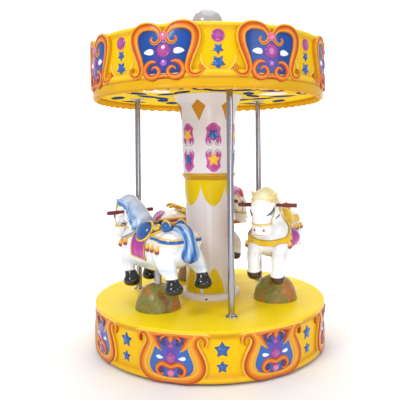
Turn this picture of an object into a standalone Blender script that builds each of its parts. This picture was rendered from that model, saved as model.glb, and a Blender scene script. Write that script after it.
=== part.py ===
"""Three-horse children's carousel: a turning fibreglass structure on a fixed ground frame.

Metres, +Z up. The origin is on the spin axis at floor level, and the front faces -Y.
Angles round the axis are counted from the front, positive towards +X.
"""

import math

import bmesh
import bpy
from mathutils import Matrix, Vector

# Gap between faces that touch on the real object, and between a horse's body and its trim
GAP = 0.0003
SKIN_GAP = 0.0005

# Facets round the large turned pieces, the column and small round pieces
BIG_STEPS = 48
COLUMN_STEPS = 32
SMALL_STEPS = 16

# Ground frame and spindle
FOOT_RADIUS = 0.050
FOOT_HEIGHT = 0.020
FOOT_REACH = 0.580
BEAM_LENGTH = 1.300
BEAM_WIDTH = 0.060
BEAM_TOP = 0.080
PLATE_RADIUS = 0.140
PLATE_TOP = 0.090
SPINDLE_RADIUS = 0.040
SPINDLE_TOP = 0.255
BEARING_RADIUS = 0.065
BEARING_TOP = 0.180

# Base drum
DRUM_RADIUS = 0.746
DECK_TOP = 0.290
DECK_THICKNESS = 0.028
DECK_UNDERSIDE = DECK_TOP - DECK_THICKNESS
SKIRT_PANEL_RADIUS = 0.728
SKIRT_INNER_RADIUS = 0.712
SKIRT_BOTTOM = 0.014
SKIRT_RELIEF_RADIUS = 0.757
HUB_RADIUS = 0.075
HUB_BORE = 0.0425
ARM_WIDTH = 0.040
ARM_DEPTH = 0.040
ARM_REACH = 0.700
ARM_ANGLES = [44 + 60 * k for k in range(6)]

# Ornament: eight cartouches, each between two plain panels
SKIRT_CARTOUCHE_ANGLES = [28.5 + 45 * k for k in range(8)]
CANOPY_CARTOUCHE_ANGLES = [27 + 45 * k for k in range(8)]
RELIEF_ROOT = 0.004
PRISM_DEPTH = 0.120

# Centre column
FOOT_RING_RADIUS = 0.199
FOOT_RING_TOP = 0.328
LOWER_COLUMN_RADIUS = 0.155
COLUMN_WALL = 0.010
RING_RADIUS = 0.178
RING_BOTTOM = 1.056
RING_TOP = 1.096

# Canopy
CANOPY_BOTTOM = 1.560
CEILING_UNDERSIDE = 1.604
CEILING_THICKNESS = 0.012
CANOPY_RIM = 1.916
FASCIA_RADIUS = 0.740
FASCIA_INNER_RADIUS = 0.727
CANOPY_RELIEF_RADIUS = 0.772
ROOF_TOP = 1.972
ROOF_CROWN_RADIUS = 0.120
LAMP_RADIUS = 0.097
LAMP_CENTRE = 2.099
LAMP_BASE_TOP = 2.012

# Poles
POLE_RADIUS = 0.019
POLE_CIRCLE = 0.510
POLE_ANGLES = {"front": 14, "right": 134, "left": -106}

# Horses: place round the axis, lift as drawn, and the stride of the legs
HORSE_CIRCLE = 0.438
HORSE_ANGLES = {"blue": -46, "yellow": 74, "pink": 194}
HORSE_LIFTS = {"blue": 0.000, "yellow": 0.060, "pink": 0.015}
HORSE_STRIDES = {"blue": "gathered", "yellow": "leaping", "pink": "leaping"}
LIFT_HIGHEST = 0.070
ROD_RADIUS = 0.022
ROD_CLEARANCE = 0.0007
ROD_GRIP = 0.040
ROD_HELD = 0.020
BELLY_HEIGHT = 0.226
HANDLEBAR_RADIUS = 0.0125
HANDLEBAR_HALF_WIDTH = 0.175
HANDLEBAR_PLACE = (0.275, 0.565)

# Rock mounds
ROCK_RADIUS = 0.154
ROCK_HEIGHT = 0.145

COLOURS = {
    "frame_steel": ((0.10, 0.11, 0.12), 0.55, 0.6),
    "stainless": ((0.62, 0.62, 0.63), 0.25, 1.0),
    "lemon_yellow": ((1.00, 0.74, 0.00), 0.30, 0.0),
    "golden_yellow": ((0.87, 0.60, 0.02), 0.30, 0.0),
    "lilac_white": ((0.76, 0.72, 0.76), 0.35, 0.0),
    "rock_brown": ((0.20, 0.13, 0.05), 0.50, 0.0),
    "horse_white": ((0.85, 0.85, 0.83), 0.25, 0.0),
    "blue": ((0.06, 0.20, 0.60), 0.30, 0.0),
    "yellow": ((0.90, 0.62, 0.10), 0.30, 0.0),
    "pink": ((0.75, 0.22, 0.50), 0.30, 0.0),
    "maroon": ((0.22, 0.02, 0.04), 0.35, 0.0),
    "lamp_glass": ((0.60, 0.62, 0.64), 0.15, 0.0),
}


def clear_scene():
    for obj in list(bpy.data.objects):
        bpy.data.objects.remove(obj, do_unlink=True)


def make_collection(name):
    collection = bpy.data.collections.new(name)
    bpy.context.scene.collection.children.link(collection)
    return collection


def make_material(name):
    colour, roughness, metallic = COLOURS[name]
    material = bpy.data.materials.new(name)
    material.use_nodes = True
    shader = material.node_tree.nodes["Principled BSDF"]
    shader.inputs["Base Color"].default_value = (*colour, 1.0)
    shader.inputs["Roughness"].default_value = roughness
    shader.inputs["Metallic"].default_value = metallic
    return material


clear_scene()
PARTS = make_collection("carousel")
TOOLS = make_collection("cutting_tools")
MATERIALS = {name: make_material(name) for name in COLOURS}


def on_circle(angle, radius, height=0.0):
    """Point at an angle from the front, in degrees, on a circle round the spin axis."""
    turn = math.radians(angle)
    return Vector((radius * math.sin(turn), -radius * math.cos(turn), height))


def add_object(name, mesh, colour=None, collection=PARTS):
    obj = bpy.data.objects.new(name, mesh)
    collection.objects.link(obj)
    if colour:
        mesh.materials.clear()
        mesh.materials.append(MATERIALS[colour])
        mesh.shade_smooth()
        mesh.set_sharp_from_angle(angle=math.radians(40))
    return obj


def mesh_from_bmesh(name, bm):
    bmesh.ops.recalc_face_normals(bm, faces=bm.faces)
    mesh = bpy.data.meshes.new(name)
    bm.to_mesh(mesh)
    bm.free()
    return mesh


def as_tool(obj):
    """Hides a body that only cuts or joins others."""
    if TOOLS not in obj.users_collection:
        PARTS.objects.unlink(obj)
        TOOLS.objects.link(obj)
    obj.hide_render = True
    obj.display_type = "WIRE"
    return obj


def boolean(obj, tool, operation):
    modifier = obj.modifiers.new(f"{operation.lower()}_{tool.name}", "BOOLEAN")
    modifier.operation = operation
    modifier.object = tool
    modifier.solver = "EXACT"
    return modifier


def baked(obj, name=None):
    """Mesh of an object with its modifiers applied, in world coordinates."""
    bpy.context.view_layer.update()
    graph = bpy.context.evaluated_depsgraph_get()
    mesh = bpy.data.meshes.new_from_object(obj.evaluated_get(graph))
    mesh.transform(obj.matrix_world)
    mesh.name = name or obj.name
    return mesh


def turned(name, profile, steps, colour, closed=True):
    """Profile of (radius, height) points, down the outer side, turned round the spin axis."""
    count = len(profile)
    edges = [(i, i + 1) for i in range(count - 1)]
    if closed:
        edges.append((count - 1, 0))
    mesh = bpy.data.meshes.new(name)
    mesh.from_pydata([(radius, 0.0, height) for radius, height in profile], edges, [])
    obj = add_object(name, mesh)
    screw = obj.modifiers.new("turn", "SCREW")
    screw.steps = steps
    screw.render_steps = steps
    screw.use_merge_vertices = True
    screw.merge_threshold = 0.0001
    solid = baked(obj)
    bpy.data.objects.remove(obj)
    return add_object(name, solid, colour)


def cylinder(name, radius, bottom, top, place, steps=SMALL_STEPS, colour=None):
    bm = bmesh.new()
    bmesh.ops.create_cone(
        bm, cap_ends=True, segments=steps, radius1=radius, radius2=radius, depth=top - bottom
    )
    bmesh.ops.translate(bm, verts=bm.verts, vec=(place.x, place.y, (top + bottom) / 2))
    return add_object(name, mesh_from_bmesh(name, bm), colour)


def box(name, size, centre, angle=0.0):
    """Box turned by an angle about the spin axis after it is placed."""
    bm = bmesh.new()
    bmesh.ops.create_cube(bm, size=1.0)
    bmesh.ops.scale(bm, verts=bm.verts, vec=size)
    bmesh.ops.translate(bm, verts=bm.verts, vec=centre)
    bmesh.ops.rotate(bm, verts=bm.verts, matrix=Matrix.Rotation(math.radians(angle), 3, "Z"))
    return add_object(name, mesh_from_bmesh(name, bm))


def joined(name, first, others, colour):
    """One closed body made from bodies that run into each other."""
    for other in others:
        boolean(first, as_tool(other), "UNION")
    mesh = baked(first, name)
    bpy.data.objects.remove(first)
    return add_object(name, mesh, colour)


def cut(obj, tools, colour):
    """The object with each tool's volume taken away."""
    for tool in tools:
        boolean(obj, as_tool(tool), "DIFFERENCE")
    mesh = baked(obj)
    name = obj.name
    bpy.data.objects.remove(obj)
    return add_object(name, mesh, colour)


def ground_frame():
    """Fixed cross of box beams on levelling feet, with the spindle that the drum turns on."""
    middle = (BEAM_TOP + FOOT_HEIGHT) / 2
    depth = BEAM_TOP - FOOT_HEIGHT
    cross = box("cross_beam", (BEAM_LENGTH, BEAM_WIDTH, depth), (0, 0, middle))
    other = box("cross_beam_across", (BEAM_WIDTH, BEAM_LENGTH, depth), (0, 0, middle))
    plate = cylinder("cross_plate", PLATE_RADIUS, BEAM_TOP - 0.02, PLATE_TOP, Vector((0, 0, 0)), 24)
    feet = [
        cylinder(f"foot_{k}", FOOT_RADIUS, 0.0, FOOT_HEIGHT + 0.01, on_circle(90 * k, FOOT_REACH))
        for k in range(4)
    ]
    joined("ground_cross", cross, [other, plate, *feet], "frame_steel")
    profile = [
        (0.0, SPINDLE_TOP),
        (SPINDLE_RADIUS, SPINDLE_TOP),
        (SPINDLE_RADIUS, BEARING_TOP),
        (BEARING_RADIUS, BEARING_TOP),
        (BEARING_RADIUS, PLATE_TOP + 0.015),
        (PLATE_RADIUS - 0.02, PLATE_TOP + 0.015),
        (PLATE_RADIUS - 0.02, PLATE_TOP + GAP),
        (0.0, PLATE_TOP + GAP),
    ]
    turned("spindle_post", profile, 32, "stainless", closed=False)


def deck_spider():
    """Hub that turns on the spindle's bearing, with the arms that carry the deck."""
    top = DECK_UNDERSIDE - GAP
    profile = [
        (HUB_RADIUS, top),
        (HUB_RADIUS, BEARING_TOP + GAP),
        (HUB_BORE, BEARING_TOP + GAP),
        (HUB_BORE, top),
    ]
    hub = turned("hub", profile, 32, "frame_steel")
    start = (HUB_BORE + HUB_RADIUS) / 2
    size = (ARM_WIDTH, ARM_REACH - start, ARM_DEPTH)
    centre = (0, -(ARM_REACH + start) / 2, top - ARM_DEPTH / 2)
    arms = [box(f"arm_{k}", size, centre, angle) for k, angle in enumerate(ARM_ANGLES)]
    joined("deck_spider", hub, arms, "frame_steel")


def relief_plates(name, outline, angles, inner, outer, bottom, top):
    """Eight raised plates: a half outline of (across, height) points, mirrored, bent round a ring."""
    loop = outline + [(-across, height) for across, height in reversed(outline) if across > 0]
    bm = bmesh.new()
    for angle in angles:
        turn = Matrix.Rotation(math.radians(angle), 3, "Z")
        near = [bm.verts.new(turn @ Vector((u, PRISM_DEPTH / 2 - inner, v))) for u, v in loop]
        face = bm.faces.new(near)
        made = bmesh.ops.extrude_face_region(bm, geom=[face])
        moved = [item for item in made["geom"] if isinstance(item, bmesh.types.BMVert)]
        bmesh.ops.translate(bm, verts=moved, vec=turn @ Vector((0, -PRISM_DEPTH, 0)))
    prisms = as_tool(add_object(f"{name}_prisms", mesh_from_bmesh(name, bm)))
    profile = [(outer, top), (outer, bottom), (inner, bottom), (inner, top)]
    ring = turned(name, profile, BIG_STEPS, "golden_yellow")
    boolean(ring, prisms, "INTERSECT")
    mesh = baked(ring)
    bpy.data.objects.remove(ring)
    return add_object(name, mesh)


def base_drum():
    """Deck with rod holes, and the skirt with its eight lyre-shaped cartouches."""
    edge = DRUM_RADIUS
    deck_profile = [
        (0.0, DECK_TOP),
        (edge - 0.011, DECK_TOP),
        (edge - 0.004, DECK_TOP - 0.003),
        (edge, DECK_TOP - 0.010),
        (edge, DECK_UNDERSIDE + 0.006),
        (edge - 0.004, DECK_UNDERSIDE),
        (0.0, DECK_UNDERSIDE),
    ]
    deck = turned("deck", deck_profile, BIG_STEPS, "lemon_yellow", closed=False)
    holes = [
        cylinder(
            f"rod_hole_{name}",
            ROD_RADIUS + ROD_CLEARANCE,
            DECK_UNDERSIDE - 0.02,
            DECK_TOP + 0.02,
            on_circle(angle, HORSE_CIRCLE),
        )
        for name, angle in HORSE_ANGLES.items()
    ]
    cut(deck, holes, "lemon_yellow")

    top = DECK_UNDERSIDE - GAP
    skirt_profile = [
        (0.741, top),
        (0.741, top - 0.012),
        (SKIRT_PANEL_RADIUS, top - 0.022),
        (SKIRT_PANEL_RADIUS, 0.052),
        (0.742, 0.040),
        (0.745, 0.028),
        (0.738, SKIRT_BOTTOM),
        (0.722, SKIRT_BOTTOM),
        (SKIRT_INNER_RADIUS, 0.030),
        (SKIRT_INNER_RADIUS, top),
    ]
    skirt = turned("skirt_ring", skirt_profile, BIG_STEPS, "golden_yellow")
    outline = [
        (0.0, 0.018),
        (0.070, 0.018),
        (0.130, 0.030),
        (0.170, 0.066),
        (0.180, 0.104),
        (0.168, 0.150),
        (0.150, 0.190),
        (0.152, 0.208),
        (0.192, 0.218),
        (0.206, 0.240),
        (0.196, 0.258),
        (0.0, 0.258),
    ]
    inner = SKIRT_INNER_RADIUS + RELIEF_ROOT
    plates = relief_plates(
        "base_relief", outline, SKIRT_CARTOUCHE_ANGLES, inner, SKIRT_RELIEF_RADIUS, 0.016, 0.260
    )
    joined("base_skirt", skirt, [plates], "golden_yellow")


def column():
    """Centre column between the deck and the ceiling, in three turned pieces on a foot ring."""
    floor = DECK_TOP + GAP
    inner = LOWER_COLUMN_RADIUS + GAP
    ring = [
        (FOOT_RING_RADIUS - 0.012, FOOT_RING_TOP - 0.004),
        (FOOT_RING_RADIUS - 0.004, FOOT_RING_TOP - 0.010),
        (FOOT_RING_RADIUS, FOOT_RING_TOP - 0.020),
        (FOOT_RING_RADIUS, floor),
        (inner, floor),
        (inner, FOOT_RING_TOP),
        (inner + 0.020, FOOT_RING_TOP),
    ]
    turned("column_foot_ring", ring, COLUMN_STEPS, "lilac_white")
    bore = LOWER_COLUMN_RADIUS - COLUMN_WALL
    lower = [
        (LOWER_COLUMN_RADIUS, RING_BOTTOM - GAP),
        (LOWER_COLUMN_RADIUS, floor),
        (bore, floor),
        (bore, RING_BOTTOM - GAP),
    ]
    turned("lower_column", lower, COLUMN_STEPS, "lilac_white")
    moulding = [
        (RING_RADIUS - 0.006, RING_TOP),
        (RING_RADIUS, RING_TOP - 0.006),
        (RING_RADIUS, RING_TOP - 0.014),
        (RING_RADIUS - 0.008, RING_TOP - 0.026),
        (RING_RADIUS - 0.016, RING_BOTTOM),
        (bore, RING_BOTTOM),
        (bore, RING_TOP),
    ]
    turned("column_ring", moulding, COLUMN_STEPS, "golden_yellow")
    flare = [
        (0.230, CEILING_UNDERSIDE - GAP),
        (0.210, 1.570),
        (0.194, 1.537),
        (0.184, 1.481),
        (0.178, 1.434),
        (0.175, 1.250),
        (0.169, RING_TOP + GAP),
    ]
    shell = flare + [
        (flare[-1][0] - COLUMN_WALL, flare[-1][1]),
        (0.166, 1.434),
        (0.184, 1.537),
        (0.218, CEILING_UNDERSIDE - GAP),
    ]
    turned("upper_column", shell, COLUMN_STEPS, "lilac_white")


def poles():
    """Three tubes between the deck and the ceiling, each with a foot flange and a top plate."""
    bottom = DECK_TOP + GAP
    top = CEILING_UNDERSIDE - GAP
    for name, angle in POLE_ANGLES.items():
        place = on_circle(angle, POLE_CIRCLE)
        cylinder(f"{name}_pole", POLE_RADIUS, bottom, top, place, colour="stainless")
        for piece, low, high, radius in (
            ("foot", bottom, bottom + 0.009, 0.036),
            ("top_plate", top - 0.008, top, 0.046),
        ):
            collar = cylinder(f"{name}_pole_{piece}", radius, low, high, place, 24)
            hole = cylinder(
                f"{name}_{piece}_hole", POLE_RADIUS + GAP, low - 0.01, high + 0.01, place
            )
            cut(collar, [hole], "stainless")


def canopy():
    """Fascia with eight heart-shaped cartouches, ceiling, roof and lamp."""
    profile = [
        (0.745, CANOPY_RIM),
        (0.755, CANOPY_RIM - 0.008),
        (0.755, CANOPY_RIM - 0.023),
        (FASCIA_RADIUS, CANOPY_RIM - 0.036),
        (FASCIA_RADIUS, 1.668),
        (0.755, 1.652),
        (0.757, 1.628),
        (0.751, 1.616),
        (0.751, 1.570),
        (0.754, CANOPY_BOTTOM),
        (0.738, CANOPY_BOTTOM),
        (FASCIA_INNER_RADIUS, CEILING_UNDERSIDE - 0.004),
        (FASCIA_INNER_RADIUS, CANOPY_RIM),
    ]
    fascia = turned("fascia_ring", profile, BIG_STEPS, "golden_yellow")
    outline = [
        (0.0, 1.606),
        (0.100, 1.612),
        (0.150, 1.626),
        (0.205, 1.634),
        (0.216, 1.668),
        (0.202, 1.690),
        (0.172, 1.690),
        (0.190, 1.745),
        (0.209, 1.790),
        (0.221, 1.840),
        (0.208, 1.890),
        (0.172, 1.922),
        (0.120, 1.936),
        (0.060, 1.930),
        (0.0, 1.900),
    ]
    inner = FASCIA_INNER_RADIUS + RELIEF_ROOT
    plates = relief_plates(
        "canopy_relief", outline, CANOPY_CARTOUCHE_ANGLES, inner, CANOPY_RELIEF_RADIUS, 1.60, 1.95
    )
    joined("canopy_fascia", fascia, [plates], "golden_yellow")

    edge = FASCIA_INNER_RADIUS - GAP
    ceiling_top = CEILING_UNDERSIDE + CEILING_THICKNESS
    ceiling = [(0.0, ceiling_top), (edge, ceiling_top)]
    ceiling += [(edge, CEILING_UNDERSIDE), (0.0, CEILING_UNDERSIDE)]
    turned("canopy_ceiling", ceiling, BIG_STEPS, "golden_yellow", closed=False)
    roof = [
        (0.0, ROOF_TOP),
        (ROOF_CROWN_RADIUS, ROOF_TOP),
        (edge, CANOPY_RIM - 0.024),
        (edge, CANOPY_RIM - 0.034),
        (ROOF_CROWN_RADIUS, ROOF_TOP - 0.012),
        (0.0, ROOF_TOP - 0.012),
    ]
    turned("canopy_roof", roof, BIG_STEPS, "golden_yellow", closed=False)
    base = [
        (0.0, LAMP_BASE_TOP),
        (0.060, LAMP_BASE_TOP),
        (0.066, LAMP_BASE_TOP - 0.012),
        (0.085, ROOF_TOP + 0.010),
        (0.085, ROOF_TOP + GAP),
        (0.0, ROOF_TOP + GAP),
    ]
    turned("lamp_base", base, 24, "stainless", closed=False)
    seat = LAMP_BASE_TOP + GAP
    lowest = math.acos((seat - LAMP_CENTRE) / LAMP_RADIUS)
    arc = [
        (LAMP_RADIUS * math.sin(lowest * k / 12), LAMP_CENTRE + LAMP_RADIUS * math.cos(lowest * k / 12))
        for k in range(13)
    ]
    turned("lamp_globe", arc + [(0.0, seat)], 24, "lamp_glass", closed=False)


def rock(name, angle):
    """Mound that the lift rod rises through, with flattened sides."""
    bm = bmesh.new()
    bmesh.ops.create_uvsphere(bm, u_segments=14, v_segments=12, radius=1.0)
    bmesh.ops.bisect_plane(
        bm,
        geom=bm.verts[:] + bm.edges[:] + bm.faces[:],
        plane_co=(0, 0, 0.1),
        plane_no=(0, 0, 1),
        clear_inner=True,
    )
    bmesh.ops.holes_fill(bm, edges=[edge for edge in bm.edges if edge.is_boundary])
    bmesh.ops.translate(bm, verts=bm.verts, vec=(0, 0, -0.1))
    bmesh.ops.scale(bm, verts=bm.verts, vec=(ROCK_RADIUS, ROCK_RADIUS, ROCK_HEIGHT / 0.9))
    for vert in bm.verts:
        turn = math.atan2(vert.co.y, vert.co.x)
        swell = 0.93 + 0.05 * math.sin(3 * turn + 0.6) + 0.03 * math.sin(5 * turn + 20 * vert.co.z)
        vert.co.x *= swell
        vert.co.y *= swell
    place = on_circle(angle, HORSE_CIRCLE, DECK_TOP + GAP)
    bmesh.ops.translate(bm, verts=bm.verts, vec=place)
    mound = add_object(f"{name}_rock", mesh_from_bmesh(f"{name}_rock", bm))
    bore = cylinder(
        f"{name}_rock_bore",
        ROD_RADIUS + ROD_CLEARANCE,
        DECK_TOP - 0.02,
        DECK_TOP + ROCK_HEIGHT + 0.02,
        place,
    )
    cut(mound, [bore], "rock_brown")


# Horse forms in the horse's own frame: x forward, y to its left, z over the deck.
# Each station is (x, y, z, half width, half depth).
TORSO = [
    (-0.280, 0.0, 0.392, 0.040, 0.040),
    (-0.256, 0.0, 0.390, 0.092, 0.085),
    (-0.190, 0.0, 0.385, 0.134, 0.117),
    (-0.100, 0.0, 0.368, 0.126, 0.128),
    (0.000, 0.0, 0.352, 0.116, 0.130),
    (0.100, 0.0, 0.358, 0.118, 0.132),
    (0.190, 0.0, 0.370, 0.116, 0.125),
    (0.255, 0.0, 0.385, 0.085, 0.095),
    (0.288, 0.0, 0.392, 0.035, 0.045),
]
NECK = [
    (0.095, 0.0, 0.395, 0.098, 0.110),
    (0.165, 0.0, 0.455, 0.095, 0.105),
    (0.225, 0.0, 0.535, 0.080, 0.085),
    (0.262, 0.0, 0.590, 0.060, 0.060),
    (0.280, 0.0, 0.618, 0.025, 0.025),
]
HEAD = [
    (0.246, 0.0, 0.612, 0.028, 0.026),
    (0.275, 0.0, 0.605, 0.058, 0.048),
    (0.320, 0.0, 0.580, 0.074, 0.060),
    (0.346, 0.0, 0.535, 0.074, 0.062),
    (0.356, 0.0, 0.484, 0.066, 0.055),
    (0.360, 0.0, 0.445, 0.064, 0.052),
    (0.358, 0.0, 0.415, 0.050, 0.040),
    (0.357, 0.0, 0.404, 0.025, 0.020),
]
STRIDES = {
    "gathered": {
        "fore_left": [
            (0.180, 0.070, 0.340, 0.058, 0.066),
            (0.182, 0.080, 0.280, 0.044, 0.050),
            (0.175, 0.085, 0.235, 0.036, 0.040),
            (0.163, 0.086, 0.205, 0.034, 0.036),
            (0.156, 0.086, 0.186, 0.046, 0.046),
            (0.152, 0.086, 0.160, 0.046, 0.044),
            (0.150, 0.086, 0.132, 0.024, 0.024),
        ],
        "fore_right": [
            (0.190, -0.070, 0.340, 0.058, 0.066),
            (0.212, -0.080, 0.285, 0.044, 0.050),
            (0.214, -0.085, 0.240, 0.036, 0.040),
            (0.203, -0.086, 0.208, 0.034, 0.036),
            (0.195, -0.086, 0.188, 0.046, 0.046),
            (0.189, -0.086, 0.162, 0.046, 0.044),
            (0.186, -0.086, 0.134, 0.024, 0.024),
        ],
        "hind_left": [
            (-0.165, 0.070, 0.365, 0.075, 0.095),
            (-0.205, 0.095, 0.300, 0.054, 0.064),
            (-0.248, 0.102, 0.250, 0.036, 0.042),
            (-0.262, 0.102, 0.222, 0.033, 0.035),
            (-0.266, 0.102, 0.204, 0.046, 0.046),
            (-0.270, 0.102, 0.178, 0.046, 0.044),
            (-0.271, 0.102, 0.150, 0.024, 0.024),
        ],
        "hind_right": [
            (-0.170, -0.070, 0.368, 0.075, 0.095),
            (-0.235, -0.090, 0.312, 0.052, 0.060),
            (-0.280, -0.094, 0.265, 0.035, 0.040),
            (-0.294, -0.094, 0.236, 0.033, 0.035),
            (-0.299, -0.093, 0.216, 0.046, 0.046),
            (-0.304, -0.092, 0.190, 0.046, 0.044),
            (-0.307, -0.092, 0.162, 0.024, 0.024),
        ],
    },
    "leaping": {
        "fore_left": [
            (0.195, 0.072, 0.335, 0.056, 0.062),
            (0.262, 0.074, 0.290, 0.046, 0.050),
            (0.312, 0.070, 0.240, 0.039, 0.042),
            (0.322, 0.066, 0.196, 0.035, 0.037),
            (0.319, 0.064, 0.168, 0.045, 0.044),
            (0.312, 0.064, 0.142, 0.045, 0.043),
            (0.306, 0.064, 0.116, 0.022, 0.022),
        ],
        "fore_right": [
            (0.192, -0.072, 0.338, 0.056, 0.062),
            (0.250, -0.078, 0.298, 0.046, 0.050),
            (0.290, -0.080, 0.252, 0.039, 0.042),
            (0.298, -0.079, 0.212, 0.035, 0.037),
            (0.294, -0.078, 0.186, 0.045, 0.044),
            (0.287, -0.077, 0.160, 0.045, 0.043),
            (0.281, -0.077, 0.134, 0.022, 0.022),
        ],
        "hind_left": [
            (-0.160, 0.072, 0.355, 0.078, 0.100),
            (-0.222, 0.098, 0.310, 0.060, 0.070),
            (-0.290, 0.104, 0.285, 0.040, 0.044),
            (-0.330, 0.100, 0.272, 0.034, 0.036),
            (-0.352, 0.096, 0.266, 0.045, 0.045),
            (-0.376, 0.092, 0.258, 0.045, 0.043),
            (-0.400, 0.090, 0.250, 0.022, 0.022),
        ],
        "hind_right": [
            (-0.162, -0.072, 0.358, 0.078, 0.100),
            (-0.214, -0.096, 0.302, 0.058, 0.066),
            (-0.268, -0.102, 0.268, 0.039, 0.043),
            (-0.304, -0.099, 0.246, 0.034, 0.036),
            (-0.322, -0.096, 0.234, 0.045, 0.045),
            (-0.340, -0.094, 0.218, 0.045, 0.043),
            (-0.356, -0.092, 0.202, 0.022, 0.022),
        ],
    },
}
MANE = [
    (0.376, 0.0, 0.612, 0.026, 0.014),
    (0.348, 0.0, 0.636, 0.058, 0.020),
    (0.296, 0.0, 0.652, 0.066, 0.022),
    (0.232, 0.0, 0.640, 0.062, 0.022),
    (0.172, 0.0, 0.592, 0.056, 0.022),
    (0.116, 0.0, 0.538, 0.046, 0.020),
    (0.088, 0.0, 0.505, 0.020, 0.012),
]
TAIL = [
    (-0.205, 0.0, 0.484, 0.030, 0.022),
    (-0.248, 0.0, 0.480, 0.036, 0.032),
    (-0.288, 0.0, 0.446, 0.038, 0.034),
    (-0.304, 0.0, 0.400, 0.040, 0.036),
    (-0.308, 0.0, 0.358, 0.046, 0.044),
    (-0.306, 0.0, 0.324, 0.034, 0.030),
    (-0.304, 0.0, 0.308, 0.015, 0.012),
]
SADDLE = [
    (-0.162, 0.0, 0.515, 0.040, 0.018),
    (-0.146, 0.0, 0.500, 0.085, 0.040),
    (-0.105, 0.0, 0.470, 0.132, 0.064),
    (-0.050, 0.0, 0.432, 0.142, 0.070),
    (0.010, 0.0, 0.430, 0.138, 0.082),
    (0.070, 0.0, 0.440, 0.136, 0.088),
    (0.115, 0.0, 0.450, 0.112, 0.072),
    (0.130, 0.0, 0.455, 0.060, 0.035),
]
EARS = {
    "ear_left": [(0.296, 0.054, 0.596, 0.024, 0.016), (0.322, 0.088, 0.650, 0.006, 0.005)],
    "ear_right": [(0.296, -0.054, 0.596, 0.024, 0.016), (0.322, -0.088, 0.650, 0.006, 0.005)],
}
FORMS = {"torso": (TORSO, 14), "neck": (NECK, 12), "head": (HEAD, 12)}
FORMS.update({name: (stations, 6) for name, stations in EARS.items()})


def lofted(name, stations, sides, grow=0.0):
    """Closed body through oval sections that stand square to the line of their centres."""
    centres = [Vector(station[:3]) for station in stations]
    centres[0] += (centres[0] - centres[1]).normalized() * grow
    centres[-1] += (centres[-1] - centres[-2]).normalized() * grow
    bm = bmesh.new()
    rings = []
    last = len(stations) - 1
    for i, station in enumerate(stations):
        half_width = station[3] + grow
        half_depth = station[4] + grow
        along = centres[min(i + 1, last)] - centres[max(i - 1, 0)]
        along.normalize()
        side = Vector((0, 1, 0))
        side = (side - along * side.dot(along)).normalized()
        up = side.cross(along)
        ring = []
        for k in range(sides):
            turn = 2 * math.pi * (k + 0.5) / sides
            offset = side * (half_width * math.cos(turn)) + up * (half_depth * math.sin(turn))
            ring.append(bm.verts.new(centres[i] + offset))
        rings.append(ring)
    for first, second in zip(rings, rings[1:]):
        for k in range(sides):
            after = (k + 1) % sides
            bm.faces.new((first[k], first[after], second[after]))
            bm.faces.new((first[k], second[after], second[k]))
    bm.faces.new(rings[0])
    bm.faces.new(rings[-1])
    return add_object(name, mesh_from_bmesh(name, bm))


def bar_across(name, radius, half_length):
    """Round bar through the neck, from side to side of the horse."""
    bm = bmesh.new()
    bmesh.ops.create_cone(
        bm, cap_ends=True, segments=12, radius1=radius, radius2=radius, depth=2 * half_length
    )
    bmesh.ops.rotate(bm, verts=bm.verts, matrix=Matrix.Rotation(math.pi / 2, 3, "X"))
    across, height = HANDLEBAR_PLACE
    bmesh.ops.translate(bm, verts=bm.verts, vec=(across, 0, height))
    return add_object(name, mesh_from_bmesh(name, bm))


def horse_body(stride):
    """Torso, neck, head, ears and legs in one moulding, bored for the handlebar and the rod."""
    forms = {**FORMS, **{name: (rows, 8) for name, rows in STRIDES[stride].items()}}
    bodies = [lofted(f"{stride}_{name}", *form) for name, form in forms.items()]
    whole = joined(f"{stride}_body", bodies[0], bodies[1:], "horse_white")
    bar_hole = bar_across(f"{stride}_bar_hole", HANDLEBAR_RADIUS + GAP, HANDLEBAR_HALF_WIDTH)
    rod_top = BELLY_HEIGHT + ROD_GRIP
    rod_hole = cylinder(
        f"{stride}_rod_hole", ROD_RADIUS + GAP, BELLY_HEIGHT / 2, rod_top + GAP, Vector()
    )
    return cut(whole, [bar_hole, rod_hole], "horse_white")


def horse_trim():
    """Mane, tail and saddle, each cut back to stand just clear of the body."""
    skins = {
        name: lofted(f"{name}_skin", *form, grow=SKIN_GAP) for name, form in FORMS.items()
    }
    back = [skins["torso"], skins["neck"]]
    crest = back + [skins["head"], skins["ear_left"], skins["ear_right"]]
    mane_skin = lofted("mane_skin", MANE, 8, grow=SKIN_GAP)
    return {
        "mane": cut(lofted("horse_mane", MANE, 8), crest, "blue"),
        "tail": cut(lofted("horse_tail", TAIL, 8), [skins["torso"]], "blue"),
        "saddle": cut(lofted("horse_saddle", SADDLE, 14), back + [mane_skin], "blue"),
    }


def horses():
    """Each horse hangs from an empty on its lift rod's axis, heading clockwise seen from above."""
    pieces = {**horse_trim(), **{stride: horse_body(stride) for stride in STRIDES}}
    pieces["handlebar"] = bar_across("horse_handlebar", HANDLEBAR_RADIUS, HANDLEBAR_HALF_WIDTH)
    rod_bottom = ROD_HELD - LIFT_HIGHEST
    rod_top = BELLY_HEIGHT + ROD_GRIP
    pieces["rod"] = cylinder("horse_rod", ROD_RADIUS, rod_bottom, rod_top, Vector())
    meshes = {name: piece.data for name, piece in pieces.items()}
    for piece in pieces.values():
        bpy.data.objects.remove(piece)
    for name, angle in HORSE_ANGLES.items():
        axis = bpy.data.objects.new(f"{name}_horse_lift", None)
        PARTS.objects.link(axis)
        axis.location = on_circle(angle, HORSE_CIRCLE, DECK_TOP + HORSE_LIFTS[name])
        axis.rotation_euler = (0, 0, math.radians(angle + 180))
        for piece, source, colour in (
            ("body", HORSE_STRIDES[name], "horse_white"),
            ("mane", "mane", name),
            ("tail", "tail", name),
            ("saddle", "saddle", name),
            ("handlebar", "handlebar", "maroon"),
            ("rod", "rod", "stainless"),
        ):
            obj = add_object(f"{name}_horse_{piece}", meshes[source].copy(), colour)
            obj.parent = axis


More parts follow.
